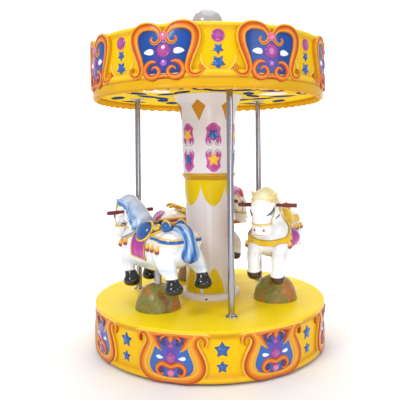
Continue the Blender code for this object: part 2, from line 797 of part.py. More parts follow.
def main():
    ground_frame()
    deck_spider()
    base_drum()
    column()
    poles()
    canopy()
    for name, angle in HORSE_ANGLES.items():
        rock(name, angle)
    horses()
    bpy.context.view_layer.update()


main()
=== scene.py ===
"""Looks of the three-horse carousel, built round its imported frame.

Metres, +Z up, origin on the spin axis at floor level, front towards -Y. Angles round the axis
are in degrees from the front, positive towards +X. A place on a wall is (along, height): the
arc length from the ornament's middle line, and the height over the floor. Tables inside
metres() are in millimetres.
"""

import logging
from collections.abc import Callable, Sequence
from dataclasses import dataclass, field
from enum import Enum
from math import cos, degrees, exp, hypot, pi, radians, sin
from typing import ClassVar

import bmesh
import bpy
import numpy as np
from bpy.types import ID, Material, Mesh, Node, NodeInputs, NodeOutputs, NodeSocket, NodeTree, Object
from mathutils import Matrix, Vector, noise
from mathutils.bvhtree import BVHTree


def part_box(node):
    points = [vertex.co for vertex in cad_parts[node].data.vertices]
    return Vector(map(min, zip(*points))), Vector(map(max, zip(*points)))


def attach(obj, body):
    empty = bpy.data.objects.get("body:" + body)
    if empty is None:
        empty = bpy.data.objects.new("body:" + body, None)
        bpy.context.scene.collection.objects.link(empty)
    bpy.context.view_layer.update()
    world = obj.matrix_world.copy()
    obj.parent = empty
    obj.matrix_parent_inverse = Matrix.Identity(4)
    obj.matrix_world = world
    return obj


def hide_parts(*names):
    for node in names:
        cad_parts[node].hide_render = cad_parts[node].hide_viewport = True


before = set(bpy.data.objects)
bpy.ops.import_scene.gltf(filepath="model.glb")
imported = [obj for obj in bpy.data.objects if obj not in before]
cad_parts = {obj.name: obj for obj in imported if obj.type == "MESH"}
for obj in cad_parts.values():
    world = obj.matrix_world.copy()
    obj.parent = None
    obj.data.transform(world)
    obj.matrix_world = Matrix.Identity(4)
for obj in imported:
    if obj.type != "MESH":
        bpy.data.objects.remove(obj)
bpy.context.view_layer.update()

log = logging.getLogger("carousel")

Colour = tuple[float, float, float]
Point = Sequence[float]
Shape = tuple[list, list]
Station = tuple[float, float, float, float, float]
Stops = tuple[tuple[float, str], ...]

TURNTABLE = "turntable"
BIG_STEPS = 144
COLUMN_STEPS = 96
POLE_STEPS = 32
SHARP_EDGE = 38.0
DECK_TOP = 0.29
ON_DECK = 0.2903
UNDER_CEILING = 1.6037
ROD_CIRCLE = 0.438
ROD_ANGLES = {"blue": -46.0, "yellow": 74.0, "pink": 194.0}
CAST_REACH = 0.45
SHEET_DEPTH = 0.006
STRAP_DEPTH = 0.004
HEAD_PIVOT = Vector((0.262, 0.0, 0.0))


def hexed(code: str) -> Colour:
    """Linear colour from a six-figure screen colour.

    Args:
        code: Six hexadecimal figures, red first.

    Returns:
        Red, green and blue as the shader reads them.
    """
    values = [int(code[i : i + 2], 16) / 255 for i in (0, 2, 4)]
    return tuple(v / 12.92 if v <= 0.04045 else ((v + 0.055) / 1.055) ** 2.4 for v in values)


def metres(*rows: Point) -> list[tuple[float, ...]]:
    """Rows of metres from rows of millimetres."""
    return [tuple(round(value / 1000, 7) for value in row) for row in rows]


def mirrored(side: Sequence[Point]) -> list[tuple[float, float]]:
    """The other side of an outline, run back up."""
    return [(-u, v) for u, v in reversed(side)]


def turns(count: int) -> list[float]:
    """Equal angles round a circle."""
    return [2 * pi * k / count for k in range(count)]


class Graph:
    """A node tree with short calls for adding nodes and joining them."""

    def __init__(self, tree: NodeTree) -> None:
        """Takes the tree that the nodes go into."""
        self.tree = tree

    def put(self, socket: NodeSocket, value: object) -> None:
        """Joins a value that is a socket to an input, or sets the input to it.

        Args:
            socket: The input.
            value: A socket, number, vector or colour.
        """
        if isinstance(value, NodeSocket):
            self.tree.links.new(value, socket)
        else:
            socket.default_value = (*value, 1.0) if socket.type == "RGBA" else value

    def add(self, kind: str, inputs: dict | None = None, **settings: object) -> Node:
        """Adds a node.

        Args:
            kind: The node's type name, without its ShaderNode start.
            inputs: Values or sockets for its inputs, by name or number.
            settings: Properties of the node itself.

        Returns:
            The new node.
        """
        node = self.tree.nodes.new(kind if kind.startswith("Node") else f"ShaderNode{kind}")
        for name, value in settings.items():
            setattr(node, name, value)
        for name, value in (inputs or {}).items():
            self.put(node.inputs[name], value)
        return node

    def group(self, tree: NodeTree, **inputs: object) -> NodeOutputs:
        """Outputs of a shared group, given values or sockets by input name."""
        return self.add("Group", inputs, node_tree=tree).outputs

    def math(self, operation: str, *values: object) -> NodeSocket:
        """Result of a Math node on values or sockets."""
        return self.add("Math", dict(enumerate(values)), operation=operation).outputs[0]

    def noise(self, where: NodeSocket, scale: object, detail: float, **more: float) -> NodeSocket:
        """Noise with so many waves a metre."""
        return self.add("TexNoise", {"Vector": where, "Scale": scale, "Detail": detail, **more}).outputs[0]

    def bump(self, strength: float, distance: float, height: NodeSocket) -> NodeSocket:
        """Normal bent by a height."""
        return self.add("Bump", {"Strength": strength, "Distance": distance, "Height": height}).outputs[0]

    def spread(self, value: object, low: float, high: float, start: float, end: float) -> NodeSocket:
        """A value remapped smoothly from low..high to start..end."""
        inputs = dict(zip(("Value", "From Min", "From Max", "To Min", "To Max"), (value, low, high, start, end)))
        return self.add("MapRange", inputs, interpolation_type="SMOOTHSTEP").outputs[0]

    def blend(self, factor: object, first: object, second: object) -> NodeSocket:
        """Colour mixed from two by a factor."""
        return self.add("Mix", {0: factor, 6: first, 7: second}, data_type="RGBA").outputs[2]

    def ramp(self, place: NodeSocket, stops: Sequence[tuple[float, str]]) -> NodeSocket:
        """Colour from a ramp.

        Args:
            place: Place on it, from 0 to 1.
            stops: Places, each with its colour.

        Returns:
            The colour.
        """
        node = self.add("ValToRGB", {0: place})
        points = node.color_ramp.elements
        points[0].position, points[-1].position = stops[0][0], stops[-1][0]
        for position, code in stops[1:-1]:
            points.new(position).color = (*hexed(code), 1.0)
        for n in (0, -1):
            points[n].color = (*hexed(stops[n][1]), 1.0)
        return node.outputs[0]


def shared_group(name: str, takes: dict[str, object], gives: dict[str, str], fill: Callable) -> NodeTree:
    """A node group that several finishes share, built the first time it is asked for.

    Args:
        name: Name of the group.
        takes: Its inputs, each a name with a default value, or None for a vector.
        gives: Its outputs, each a name with the socket's kind.
        fill: Called with the graph and the inputs' sockets; returns the outputs' sockets.

    Returns:
        The group's node tree.
    """
    tree = bpy.data.node_groups.get(name)
    if tree:
        return tree
    tree = bpy.data.node_groups.new(name, "ShaderNodeTree")
    for title, value in takes.items():
        kind = "Vector" if value is None else "Color" if isinstance(value, tuple) else "Float"
        socket = tree.interface.new_socket(title, in_out="INPUT", socket_type=f"NodeSocket{kind}")
        if value is not None:
            socket.default_value = (*value, 1.0) if kind == "Color" else value
    for title, kind in gives.items():
        tree.interface.new_socket(title, in_out="OUTPUT", socket_type=f"NodeSocket{kind}")
    graph = Graph(tree)
    start, end = graph.add("NodeGroupInput"), graph.add("NodeGroupOutput")
    for title, socket in fill(graph, start.outputs).items():
        tree.links.new(socket, end.inputs[title])
    return tree


def mottle_group() -> NodeTree:
    """Uneven hand-laid colour: broad cloudy patches with a little fine speckle.

    Returns:
        The shared group.
    """

    def fill(graph: Graph, ins: NodeInputs) -> dict[str, NodeSocket]:
        """Joins two noises into a brighter and duller version of the colour.

        Args:
            graph: The group's graph.
            ins: Its inputs.

        Returns:
            Its outputs by name.
        """
        broad = graph.noise(ins["Vector"], ins["Scale"], 3.0)
        fine = graph.noise(ins["Vector"], graph.math("MULTIPLY", ins["Scale"], 9.0), 2.0)
        both = graph.math("ADD", graph.math("MULTIPLY", broad, 0.75), graph.math("MULTIPLY", fine, 0.25))
        swing = graph.math("MULTIPLY", graph.math("SUBTRACT", both, 0.5), ins["Strength"])
        bright = graph.math("ADD", graph.math("MULTIPLY", swing, 2.2), 1.0)
        hue = graph.math("ADD", graph.math("MULTIPLY", swing, 0.1), 0.5)
        tone = graph.add("HueSaturation", {"Hue": hue, "Value": bright, "Color": ins["Colour"]})
        return {"Colour": tone.outputs[0], "Mask": both}

    takes = {"Vector": None, "Colour": (0.8, 0.8, 0.8), "Scale": 6.0, "Strength": 0.2}
    return shared_group("mottle", takes, {"Colour": "Color", "Mask": "Float"}, fill)


def skin_group() -> NodeTree:
    """Height of a moulded gelcoat skin: slow waviness and fine orange peel.

    Returns:
        The shared group.
    """

    def fill(graph: Graph, ins: NodeInputs) -> dict[str, NodeSocket]:
        """Adds a slow noise and a fine one.

        Args:
            graph: The group's graph.
            ins: Its inputs.

        Returns:
            Its outputs by name.
        """
        slow = graph.math("MULTIPLY", graph.noise(ins["Vector"], 14.0, 1.0), ins["Wave"])
        peel = graph.math("MULTIPLY", graph.noise(ins["Vector"], ins["Scale"], 2.0), 0.25)
        return {"Height": graph.math("ADD", slow, peel)}

    return shared_group("moulded_skin", {"Vector": None, "Scale": 260.0, "Wave": 0.8}, {"Height": "Float"}, fill)


def wear_group() -> NodeTree:
    """Use marks: thin dust on upward faces and rubbed, greyer patches.

    Returns:
        The shared group.
    """

    def fill(graph: Graph, ins: NodeInputs) -> dict[str, NodeSocket]:
        """Mixes dust and rub colours over the given colour.

        Args:
            graph: The group's graph.
            ins: Its inputs.

        Returns:
            Its outputs by name.
        """
        up = graph.add("SeparateXYZ", {0: graph.add("NewGeometry").outputs["Normal"]}).outputs[2]
        cloud = graph.noise(ins["Vector"], 9.0, 6.0, Roughness=0.65)
        upward = graph.spread(up, 0.55, 1.0, 0.0, 1.0)
        dust = graph.math("MULTIPLY", upward, graph.spread(cloud, 0.42, 0.72, 0.0, 1.0))
        dusted = graph.blend(graph.math("MULTIPLY", dust, ins["Dust"]), ins["Colour"], (0.62, 0.56, 0.46))
        scuffs = graph.spread(graph.noise(ins["Vector"], 55.0, 4.0), 0.6, 0.74, 0.0, 1.0)
        rub = graph.math("MULTIPLY", scuffs, ins["Rub"])
        return {"Colour": graph.blend(rub, dusted, (0.42, 0.36, 0.28)), "Mask": graph.math("MAXIMUM", dust, rub)}

    takes = {"Vector": None, "Colour": (0.8, 0.8, 0.8), "Dust": 0.1, "Rub": 0.05}
    return shared_group("use_marks", takes, {"Colour": "Color", "Mask": "Float"}, fill)


@dataclass(frozen=True)
class Coating:
    """What all finishes share: a material of that name, made the first time it is asked for."""

    name: str

    def material(self) -> Material:
        """The finish as a Blender material.

        Returns:
            The material.
        """
        made = bpy.data.materials.get(self.name)
        if not made:
            made = bpy.data.materials.new(self.name)
            made.use_nodes = True
            graph = Graph(made.node_tree)
            shader = made.node_tree.nodes["Principled BSDF"]
            for title, value in self.looks(graph, graph.add("TexCoord").outputs["Object"]).items():
                graph.put(shader.inputs[title], value)
        return made

    def looks(self, graph: Graph, where: NodeSocket) -> dict[str, object]:
        """What the shader's inputs get, by name, from the material's graph and the place on the piece."""
        return {}


@dataclass(frozen=True)
class Gloss(Coating):
    """Sprayed gloss paint on a moulding, with colour that changes where stops or overlays say; on some finishes the
    stops paint shade and highlight.

    Attributes:
        colour: One colour as six hexadecimal figures, or stops: places on the carrier, each with a colour.
        slot: The record's material slot that it stands for. Not used.
        carrier: Point attribute from 0 to 1 that the stops follow.
        overlays: Painted patches: point attribute, colour and softness of the edge.
        roughness: Base roughness.
        coat: Weight of the clear coat.
        mottle: Strength of the uneven colour.
        scale: Size of the uneven patches, as patches a metre.
        dust: Amount of dust on upward faces.
        rub: Amount of rubbed marks.
        shine: Specular level, where 0.5 is common paint.
    """

    colour: str | Stops
    slot: str = "golden_yellow"
    carrier: str = "across"
    overlays: tuple[tuple[str, str, float], ...] = ()
    roughness: float = 0.3
    coat: float = 0.35
    mottle: float = 0.1
    scale: float = 7.0
    dust: float = 0.05
    rub: float = 0.02
    shine: float = 0.35

    def looks(self, graph: Graph, where: NodeSocket) -> dict[str, object]:
        """Shaded, mottled and worn colour over a moulded skin.

        Args:
            graph: The material's graph.
            where: Place on the piece.

        Returns:
            What the shader's inputs get.
        """
        if isinstance(self.colour, str):
            colour: object = hexed(self.colour)
        else:
            colour = graph.ramp(graph.add("Attribute", attribute_name=self.carrier).outputs["Fac"], self.colour)
        for attribute, code, soft in self.overlays:
            mask = graph.add("Attribute", attribute_name=attribute).outputs["Fac"]
            colour = graph.blend(graph.spread(mask, 0.5 - soft, 0.5 + soft, 0.0, 1.0), colour, hexed(code))
        mottle = graph.group(mottle_group(), Vector=where, Colour=colour, Scale=self.scale, Strength=self.mottle)
        wear = graph.group(wear_group(), Vector=where, Colour=mottle["Colour"], Dust=self.dust, Rub=self.rub)
        skin = graph.group(skin_group(), Vector=where)
        rough = graph.spread(mottle["Mask"], 0.2, 0.8, self.roughness - 0.05, self.roughness + 0.07)
        worn = graph.math("MULTIPLY", wear["Mask"], 0.25)
        return {"Base Color": wear["Colour"], "Roughness": graph.math("ADD", rough, worn),
            "Normal": graph.bump(0.06, 0.002, skin["Height"]), "Specular IOR Level": self.shine,
            "Coat Weight": self.coat, "Coat Roughness": 0.06}


@dataclass(frozen=True)
class Steel(Coating):
    """Polished or painted steel with fine lengthwise or round-the-tube polishing lines.

    Attributes:
        colour: Colour as six hexadecimal figures.
        slot: The record's material slot that it stands for. Not used.
        roughness: Base roughness.
        metallic: 1 for bare metal, 0 for a painted one.
        stretch: Scale of the polishing lines along x, y and z.
    """

    colour: str
    slot: str = "stainless"
    roughness: float = 0.18
    metallic: float = 1.0
    stretch: Colour = (40.0, 40.0, 900.0)

    def looks(self, graph: Graph, where: NodeSocket) -> dict[str, object]:
        """Metal with its polishing lines in roughness and relief.

        Args:
            graph: The material's graph.
            where: Place on the piece.

        Returns:
            What the shader's inputs get.
        """
        brush = graph.noise(graph.add("Mapping", {"Vector": where, "Scale": self.stretch}).outputs[0], 1.0, 4.0)
        mottle = graph.group(mottle_group(), Vector=where, Colour=hexed(self.colour), Scale=5.0, Strength=0.06)
        wear = graph.group(wear_group(), Vector=where, Colour=mottle["Colour"], Dust=0.05, Rub=0.03)
        rough = graph.spread(brush, 0.3, 0.7, self.roughness - 0.02, self.roughness + 0.04)
        worn = graph.math("MULTIPLY", wear["Mask"], 0.15)
        return {"Base Color": wear["Colour"], "Roughness": graph.math("ADD", rough, worn),
            "Normal": graph.bump(0.01, 0.001, brush), "Metallic": self.metallic}


@dataclass(frozen=True)
class Sponge(Coating):
    """Matt paint dabbed on with a sponge in several colours over a lumpy moulding.

    Attributes:
        slot: The record's material slot that it stands for. Not used.
        colours: The dabbed colours, which meet in this order.
        scale: Dabs a metre.
    """

    slot: str
    colours: tuple[str, ...]
    scale: float

    def looks(self, graph: Graph, where: NodeSocket) -> dict[str, object]:
        """Dabs of colour with grain in roughness and relief.

        Args:
            graph: The material's graph.
            where: Place on the piece.

        Returns:
            What the shader's inputs get.
        """
        dabs = graph.noise(where, self.scale, 5.0, Roughness=0.6, Distortion=0.6)
        last = len(self.colours) - 1
        colour = graph.ramp(dabs, [(0.3 + 0.4 * k / last, code) for k, code in enumerate(self.colours)])
        mottle = graph.group(mottle_group(), Vector=where, Colour=colour, Scale=60.0, Strength=0.45)
        grain = graph.noise(where, 120.0, 5.0)
        return {"Base Color": mottle["Colour"], "Roughness": graph.spread(grain, 0.3, 0.7, 0.34, 0.55),
            "Normal": graph.bump(0.35, 0.003, grain), "Coat Weight": 0.25}


@dataclass(frozen=True)
class Backdrop(Coating):
    """Pale paper of the studio."""

    def looks(self, graph: Graph, where: NodeSocket) -> dict[str, object]:
        """Nearly even off-white.

        Args:
            graph: The material's graph.
            where: Place on the floor.

        Returns:
            What the shader's inputs get.
        """
        mottle = graph.group(mottle_group(), Vector=where, Colour=hexed("F8F8F8"), Scale=0.8, Strength=0.03)
        return {"Base Color": mottle["Colour"], "Roughness": 0.6}


def smooth_line(points: Sequence[Point], per_span: int, closed: bool = False) -> np.ndarray:
    """Curve through points.

    Args:
        points: Points of any number of coordinates.
        per_span: Steps between two points.
        closed: True where the last point runs on to the first.

    Returns:
        The curve's points, one a row.
    """
    p = np.array(points, float)
    count = len(p)
    spans = count if closed else count - 1
    rows = []
    for i in range(spans):
        near = range(i - 1, i + 3)
        a, b, c, d = (p[n % count] if closed else p[min(max(n, 0), count - 1)] for n in near)
        for k in range(per_span):
            t = k / per_span
            bend, twist = 2 * a - 5 * b + 4 * c - d, 3 * b - a - 3 * c + d
            rows.append(0.5 * (2 * b + (c - a) * t + bend * t * t + twist * t**3))
    if not closed:
        rows.append(p[-1])
    return np.array(rows)


def filleted(points: Sequence[Point], steps: int = 4) -> list[tuple[float, float]]:
    """Line with its corners rounded.

    Args:
        points: (radius, height) or (radius, height, fillet) of each corner.
        steps: Spans in each rounded corner.

    Returns:
        The line's points.
    """
    made = []
    for i, point in enumerate(points):
        here = np.array(point[:2], float)
        if len(point) < 3 or i in (0, len(points) - 1):
            made.append(tuple(here))
            continue
        ends = []
        for other in (points[i - 1], points[i + 1]):
            away = np.array(other[:2], float) - here
            length = np.linalg.norm(away)
            ends.append(here + away * min(point[2], length * 0.48) / length)
        for t in np.arange(steps + 1) / steps:
            made.append(tuple(ends[0] * (1 - t) ** 2 + here * 2 * t * (1 - t) + ends[1] * t * t))
    return made


def on_circle(angle: float, radius: float, height: float = 0.0) -> Vector:
    """Point at an angle from the front on a circle round the spin axis."""
    turn = radians(angle)
    return Vector((radius * sin(turn), -radius * cos(turn), height))


def spun(angle: float) -> Matrix:
    """Turn about the spin axis."""
    return Matrix.Rotation(radians(angle), 4, "Z")


def placed(name: str, data: ID) -> Object:
    """A new object in the scene.

    Args:
        name: Its name.
        data: Its mesh, lamp or camera.

    Returns:
        The object.
    """
    made = bpy.data.objects.new(name, data)
    bpy.context.scene.collection.objects.link(made)
    return made


def add_piece(name: str, mesh: Mesh, finishes: Sequence, stands_for: Sequence[str] = (), matrix: Matrix | None = None,
        smooth: float = SHARP_EDGE, body: str = TURNTABLE) -> None:
    """Puts a mesh into the scene as a piece that rides on a body.

    Args:
        name: Name of the piece.
        mesh: Its mesh, which other pieces may share.
        finishes: A finish for each of the mesh's material numbers.
        stands_for: CAD nodes that it replaces.
        matrix: Place of the piece, or None to leave it where its mesh is.
        smooth: Edges sharper than this many degrees stay sharp.
        body: The moving body that carries it.
    """
    if not mesh.materials:
        for finish in finishes:
            mesh.materials.append(finish.value.material())
        mesh.shade_smooth()
        mesh.set_sharp_from_angle(angle=radians(smooth))
    piece = placed(name, mesh)
    if matrix is not None:
        piece.matrix_world = matrix
    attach(piece, body)
    if stands_for:
        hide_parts(*stands_for)
    log.info("%s on %s, %d faces", name, body, len(mesh.polygons))


def outward(mesh: Mesh, weld: bool = False) -> Mesh:
    """Turns a mesh's faces outwards.

    Args:
        mesh: The mesh.
        weld: True to join double points first.

    Returns:
        The same mesh.
    """
    bm = bmesh.new()
    bm.from_mesh(mesh)
    if weld:
        bmesh.ops.remove_doubles(bm, verts=bm.verts, dist=1e-6)
    bmesh.ops.recalc_face_normals(bm, faces=bm.faces)
    bm.to_mesh(mesh)
    bm.free()
    return mesh


def mesh_of(name: str, shape: Shape, numbers: Sequence[int] = (), **marks: Sequence[float]) -> Mesh:
    """Mesh with outward faces.

    Args:
        name: Name of the mesh.
        shape: Its vertices and faces.
        numbers: Material number of each face.
        marks: Values of each point attribute.

    Returns:
        The mesh.
    """
    mesh = bpy.data.meshes.new(name)
    mesh.from_pydata([tuple(v) for v in shape[0]], [], [tuple(f) for f in shape[1]])
    for title, values in marks.items():
        mark(mesh, title, values)
    if numbers:
        mesh.polygons.foreach_set("material_index", numbers)
    return outward(mesh)


def mark(mesh: Mesh, title: str, values: Sequence[float]) -> None:
    """Gives a mesh a point attribute."""
    mesh.attributes.new(title, "FLOAT", "POINT").data.foreach_set("value", np.array(values, np.float32))


def bands(rows: int, sides: int, closed: bool = False, caps: bool = False, ends: int = 0) -> list[tuple[int, ...]]:
    """Faces between neighbouring rows of points.

    Args:
        rows: Rows of points.
        sides: Points in a row, which runs round in a loop.
        closed: True where the last row meets the first.
        caps: True to close the first row and the last.
        ends: 1 where a row has two ends instead.

    Returns:
        The faces.
    """
    faces = []
    for i in range(rows if closed else rows - 1):
        a, b = i * sides, (i + 1) % rows * sides
        for k in range(sides - ends):
            j = (k + 1) % sides
            faces.append((a + k, a + j, b + j, b + k))
    if caps:
        faces += [tuple(range(sides))[::-1], tuple((rows - 1) * sides + k for k in range(sides))]
    return faces


def heading(line: Sequence[Vector], i: int, closed: bool = False) -> Vector:
    """Direction of a line at one of its points.

    Args:
        line: Its points.
        i: Number of the point.
        closed: True where the line is a loop.

    Returns:
        The direction, one long.
    """
    count = len(line)
    after = line[(i + 1) % count] if closed else line[min(i + 1, count - 1)]
    before = line[i - 1] if closed or i else line[0]
    return (after - before).normalized()


def turned_mesh(name: str, profile: Sequence[Point], steps: int, closed: bool = True,
        centre: Point = (0.0, 0.0)) -> Mesh:
    """Profile of (radius, height) points turned round an upright axis.

    Args:
        name: Name of the mesh.
        profile: Points down the outer side; a closed one runs back up the inner side.
        steps: Facets round the axis.
        closed: True where the last point joins the first.
        centre: Place of the axis.

    Returns:
        The mesh, with the attribute rise, from 0 at its lowest point to 1 at its highest.
    """
    heights = [height for _, height in profile]
    low, span = min(heights), max(heights) - min(heights)
    vertices, rise = [], []
    for turn in turns(steps):
        for radius, height in profile:
            vertices.append((centre[0] + radius * sin(turn), centre[1] - radius * cos(turn), height))
            rise.append((height - low) / span)
    faces = bands(steps, len(profile), True, ends=0 if closed else 1)
    return outward(mesh_of(name, (vertices, faces), rise=rise), weld=True)


class Section(Enum):
    """Cross-sections of a ribbon: places from -1 to 1 across it, each with a share of its height."""

    ROUND = tuple((-cos(pi * k / 8), sin(pi * k / 8)) for k in range(9))
    RIMMED = ((-1.0, 0.0), (-0.97, 0.45), (-0.86, 0.86), (-0.72, 1.0), (-0.58, 0.92), (-0.47, 0.7), (-0.36, 0.56),
        (-0.15, 0.6), (0.12, 0.72), (0.4, 0.82), (0.66, 0.8), (0.86, 0.58), (0.97, 0.28), (1.0, 0.0))
    FLAT = ((-1.0, 0.0), (-0.92, 0.75), (-0.75, 1.0), (0.0, 1.0), (0.75, 1.0), (0.92, 0.75), (1.0, 0.0))


@dataclass(frozen=True)
class Wall:
    """A round wall that carries ornament.

    Attributes:
        profile: (height, radius) points from the bottom up.
        reference: Radius at which arc lengths are true.
        angle: Angle of the ornament's middle line.
    """

    profile: tuple[tuple[float, float], ...]
    reference: float
    angle: float = 0.0

    def place(self, along: float, height: float, lift: float) -> Vector:
        """Point on the wall.

        Args:
            along: Its place along the wall.
            height: Its height.
            lift: Its distance off the wall.

        Returns:
            The point.
        """
        heights = [h for h, _ in self.profile]
        radii = [r for _, r in self.profile]
        radius = float(np.interp(height, heights, radii)) + lift
        return on_circle(self.angle + degrees(along / self.reference), radius, height)


@dataclass
class Relief:
    """Ornament of ribbons and domed pads on a wall, gathered into one mesh.

    Attributes:
        wall: The wall that it lies on.
        root: Depth to which each element reaches into the wall.
    """

    wall: Wall
    root: float = 0.002
    vertices: list = field(default_factory=list)
    faces: list = field(default_factory=list)
    numbers: list = field(default_factory=list)
    across: list = field(default_factory=list)
    tint: list = field(default_factory=list)

    def point(self, along: float, height: float, lift: float, across: float, tint: float) -> int:
        """Adds a point.

        Args:
            along: Its place along the wall.
            height: Its height.
            lift: Its distance off the wall.
            across: Value of the attribute across.
            tint: Value of the attribute tint.

        Returns:
            Its number.
        """
        self.vertices.append(self.wall.place(along, height, lift))
        self.across.append(across)
        self.tint.append(tint)
        return len(self.vertices) - 1

    def face(self, corners: Sequence[int], finish: int) -> None:
        """Adds a face with a finish number."""
        self.faces.append(tuple(corners))
        self.numbers.append(finish)

    def join(self, loops: Sequence[Sequence[int]], finish: int) -> None:
        """Adds the faces between neighbouring loops.

        Args:
            loops: Numbers of each loop's points.
            finish: Number of their finish.
        """
        for first, second in zip(loops, loops[1:]):
            for k in range(len(first)):
                after = (k + 1) % len(first)
                self.face((first[k], first[after], second[after], second[k]), finish)

    def ribbon(self, rows: Sequence[Point], height: float, finish: int, section: Section = Section.ROUND,
            base: float = 0.0, per_span: int = 5, both: bool = False, tint: float = 0.0) -> None:
        """Adds a band with a swelling cross-section along a curve.

        Args:
            rows: (along, height, half width) of points on its middle line.
            height: Lift of its crown where it is widest.
            finish: Number of its finish.
            section: Shape across it, with the first side on the line's left.
            base: Lift of its edges.
            per_span: Steps between two points.
            both: True to add its mirror image too.
            tint: Value of the tint attribute.
        """
        line = smooth_line(rows, per_span)
        widest = max(line[:, 2])
        steps = np.gradient(line[:, :2], axis=0)
        steps /= np.maximum(np.linalg.norm(steps, axis=1), 1e-9)[:, None]
        for sign in (1, -1) if both else (1,):
            loops = []
            for (u, v, width), (du, dv) in zip(line, steps):
                width = max(width, 0.0004)
                crown = height * (0.35 + 0.65 * min(1.0, width / widest))
                loop = [self.point(sign * (u + dv * width), v - du * width, -self.root, 0.0, tint)]
                for place, share in section.value:
                    au, av = u - dv * width * place, v + du * width * place
                    loop.append(self.point(sign * au, av, base + crown * share, (place + 1) / 2, tint))
                loop.append(self.point(sign * (u - dv * width), v + du * width, -self.root, 1.0, tint))
                loops.append(loop)
            self.join(loops, finish)
            self.face(loops[0], finish)
            self.face(loops[-1][::-1], finish)

    def pad(self, outline: Sequence[Point], height: float, finish: int, base: float = 0.0,
            centre: Point | None = None, rings: int = 6, round_edge: float = 0.5, both: bool = False,
            tinted: Callable[[float, float], float] | None = None) -> None:
        """Adds a domed plate inside an outline that can be seen whole from its centre.

        Args:
            outline: (along, height) points round it.
            height: Lift of its middle over its base.
            finish: Number of its finish.
            base: Lift of its edge.
            centre: Its middle, or None for the mean of the outline.
            rings: Rings of faces from the edge to the middle.
            round_edge: Power of the dome, where 1 is a cone and smaller is flatter on top.
            both: True to add its mirror image too.
            tinted: Gives the tint attribute at a point, from (along, height).
        """
        edge = np.array(outline, float)
        middle = edge.mean(axis=0) if centre is None else np.array(centre, float)
        shade = tinted or (lambda u, v: 0.0)
        for sign in (1, -1) if both else (1,):
            loops = [[self.point(sign * u, v, -self.root, 0.0, shade(u, v)) for u, v in edge]]
            for k in range(rings):
                share = (k / rings) ** 1.6
                lift = base + height * (1 - (1 - share) ** 2) ** round_edge
                ring = edge + (middle - edge) * share
                loops.append([self.point(sign * u, v, lift, share, shade(u, v)) for u, v in ring])
            self.join(loops, finish)
            tip = self.point(sign * middle[0], middle[1], base + height, 1.0, shade(*middle))
            inner = loops[-1]
            for k in range(len(edge)):
                self.face((inner[k], inner[(k + 1) % len(edge)], tip), finish)
            self.face(loops[0][::-1], finish)

    def disc(self, along: float, height: float, wide: float, tall: float, lift: float, finish: int,
            **more: object) -> None:
        """Adds an oval pad.

        Args:
            along: Place of its middle along the wall.
            height: Height of its middle.
            wide: Half its width.
            tall: Half its height.
            lift: Lift of its middle.
            finish: Number of its finish.
            more: Other settings of the pad.
        """
        ring = np.linspace(0, 2 * pi, 29)[:-1]
        loop = [(along + wide * cos(t), height + tall * sin(t)) for t in ring]
        self.pad(loop, lift, finish, centre=(along, height), **more)

    def star(self, along: float, height: float, size: float, lift: float, finish: int, down: bool = False,
            **more: object) -> None:
        """Adds a plump five-pointed star.

        Args:
            along: Place of its middle along the wall.
            height: Height of its middle.
            size: Length of its points.
            lift: Lift of its middle.
            finish: Number of its finish.
            down: True where it stands on one point.
            more: Other settings of the pad.
        """
        loop = []
        for k in range(10):
            turn = pi * k / 5 + (pi if down else 0.0)
            reach = size if k % 2 == 0 else size * 0.54
            loop.append((along + reach * sin(turn), height + reach * cos(turn)))
        fine = []
        for k in range(10):
            a, b = np.array(loop[k]), np.array(loop[(k + 1) % 10])
            fine += [tuple(a + (b - a) * 0.1), tuple(a + (b - a) * 0.5), tuple(b + (a - b) * 0.1)]
        self.pad(fine, lift, finish, centre=(along, height), round_edge=0.8, **more)

    def mesh(self, name: str) -> Mesh:
        """The gathered elements as one mesh with the attributes across and tint."""
        return mesh_of(name, (self.vertices, self.faces), self.numbers, across=self.across, tint=self.tint)


HAND_SHADED = {"mottle": 0.2, "coat": 0.15, "shine": 0.2, "scale": 11.0}
POLISHED = {"coat": 1.0, "roughness": 0.12}
# MOULDED makes a coat's colour follow the attribute shade, and so carries its painted shade.
MOULDED = {"carrier": "shade", "roughness": 0.22, "coat": 0.8, "mottle": 0.03, "dust": 0.02, "rub": 0.0}
GOLD_BAND: Stops = ((0.0, "B08C0C"), (0.2, "F0C410"), (0.5, "E8B804"), (0.8, "F4CC18"), (1.0, "B08C0C"))


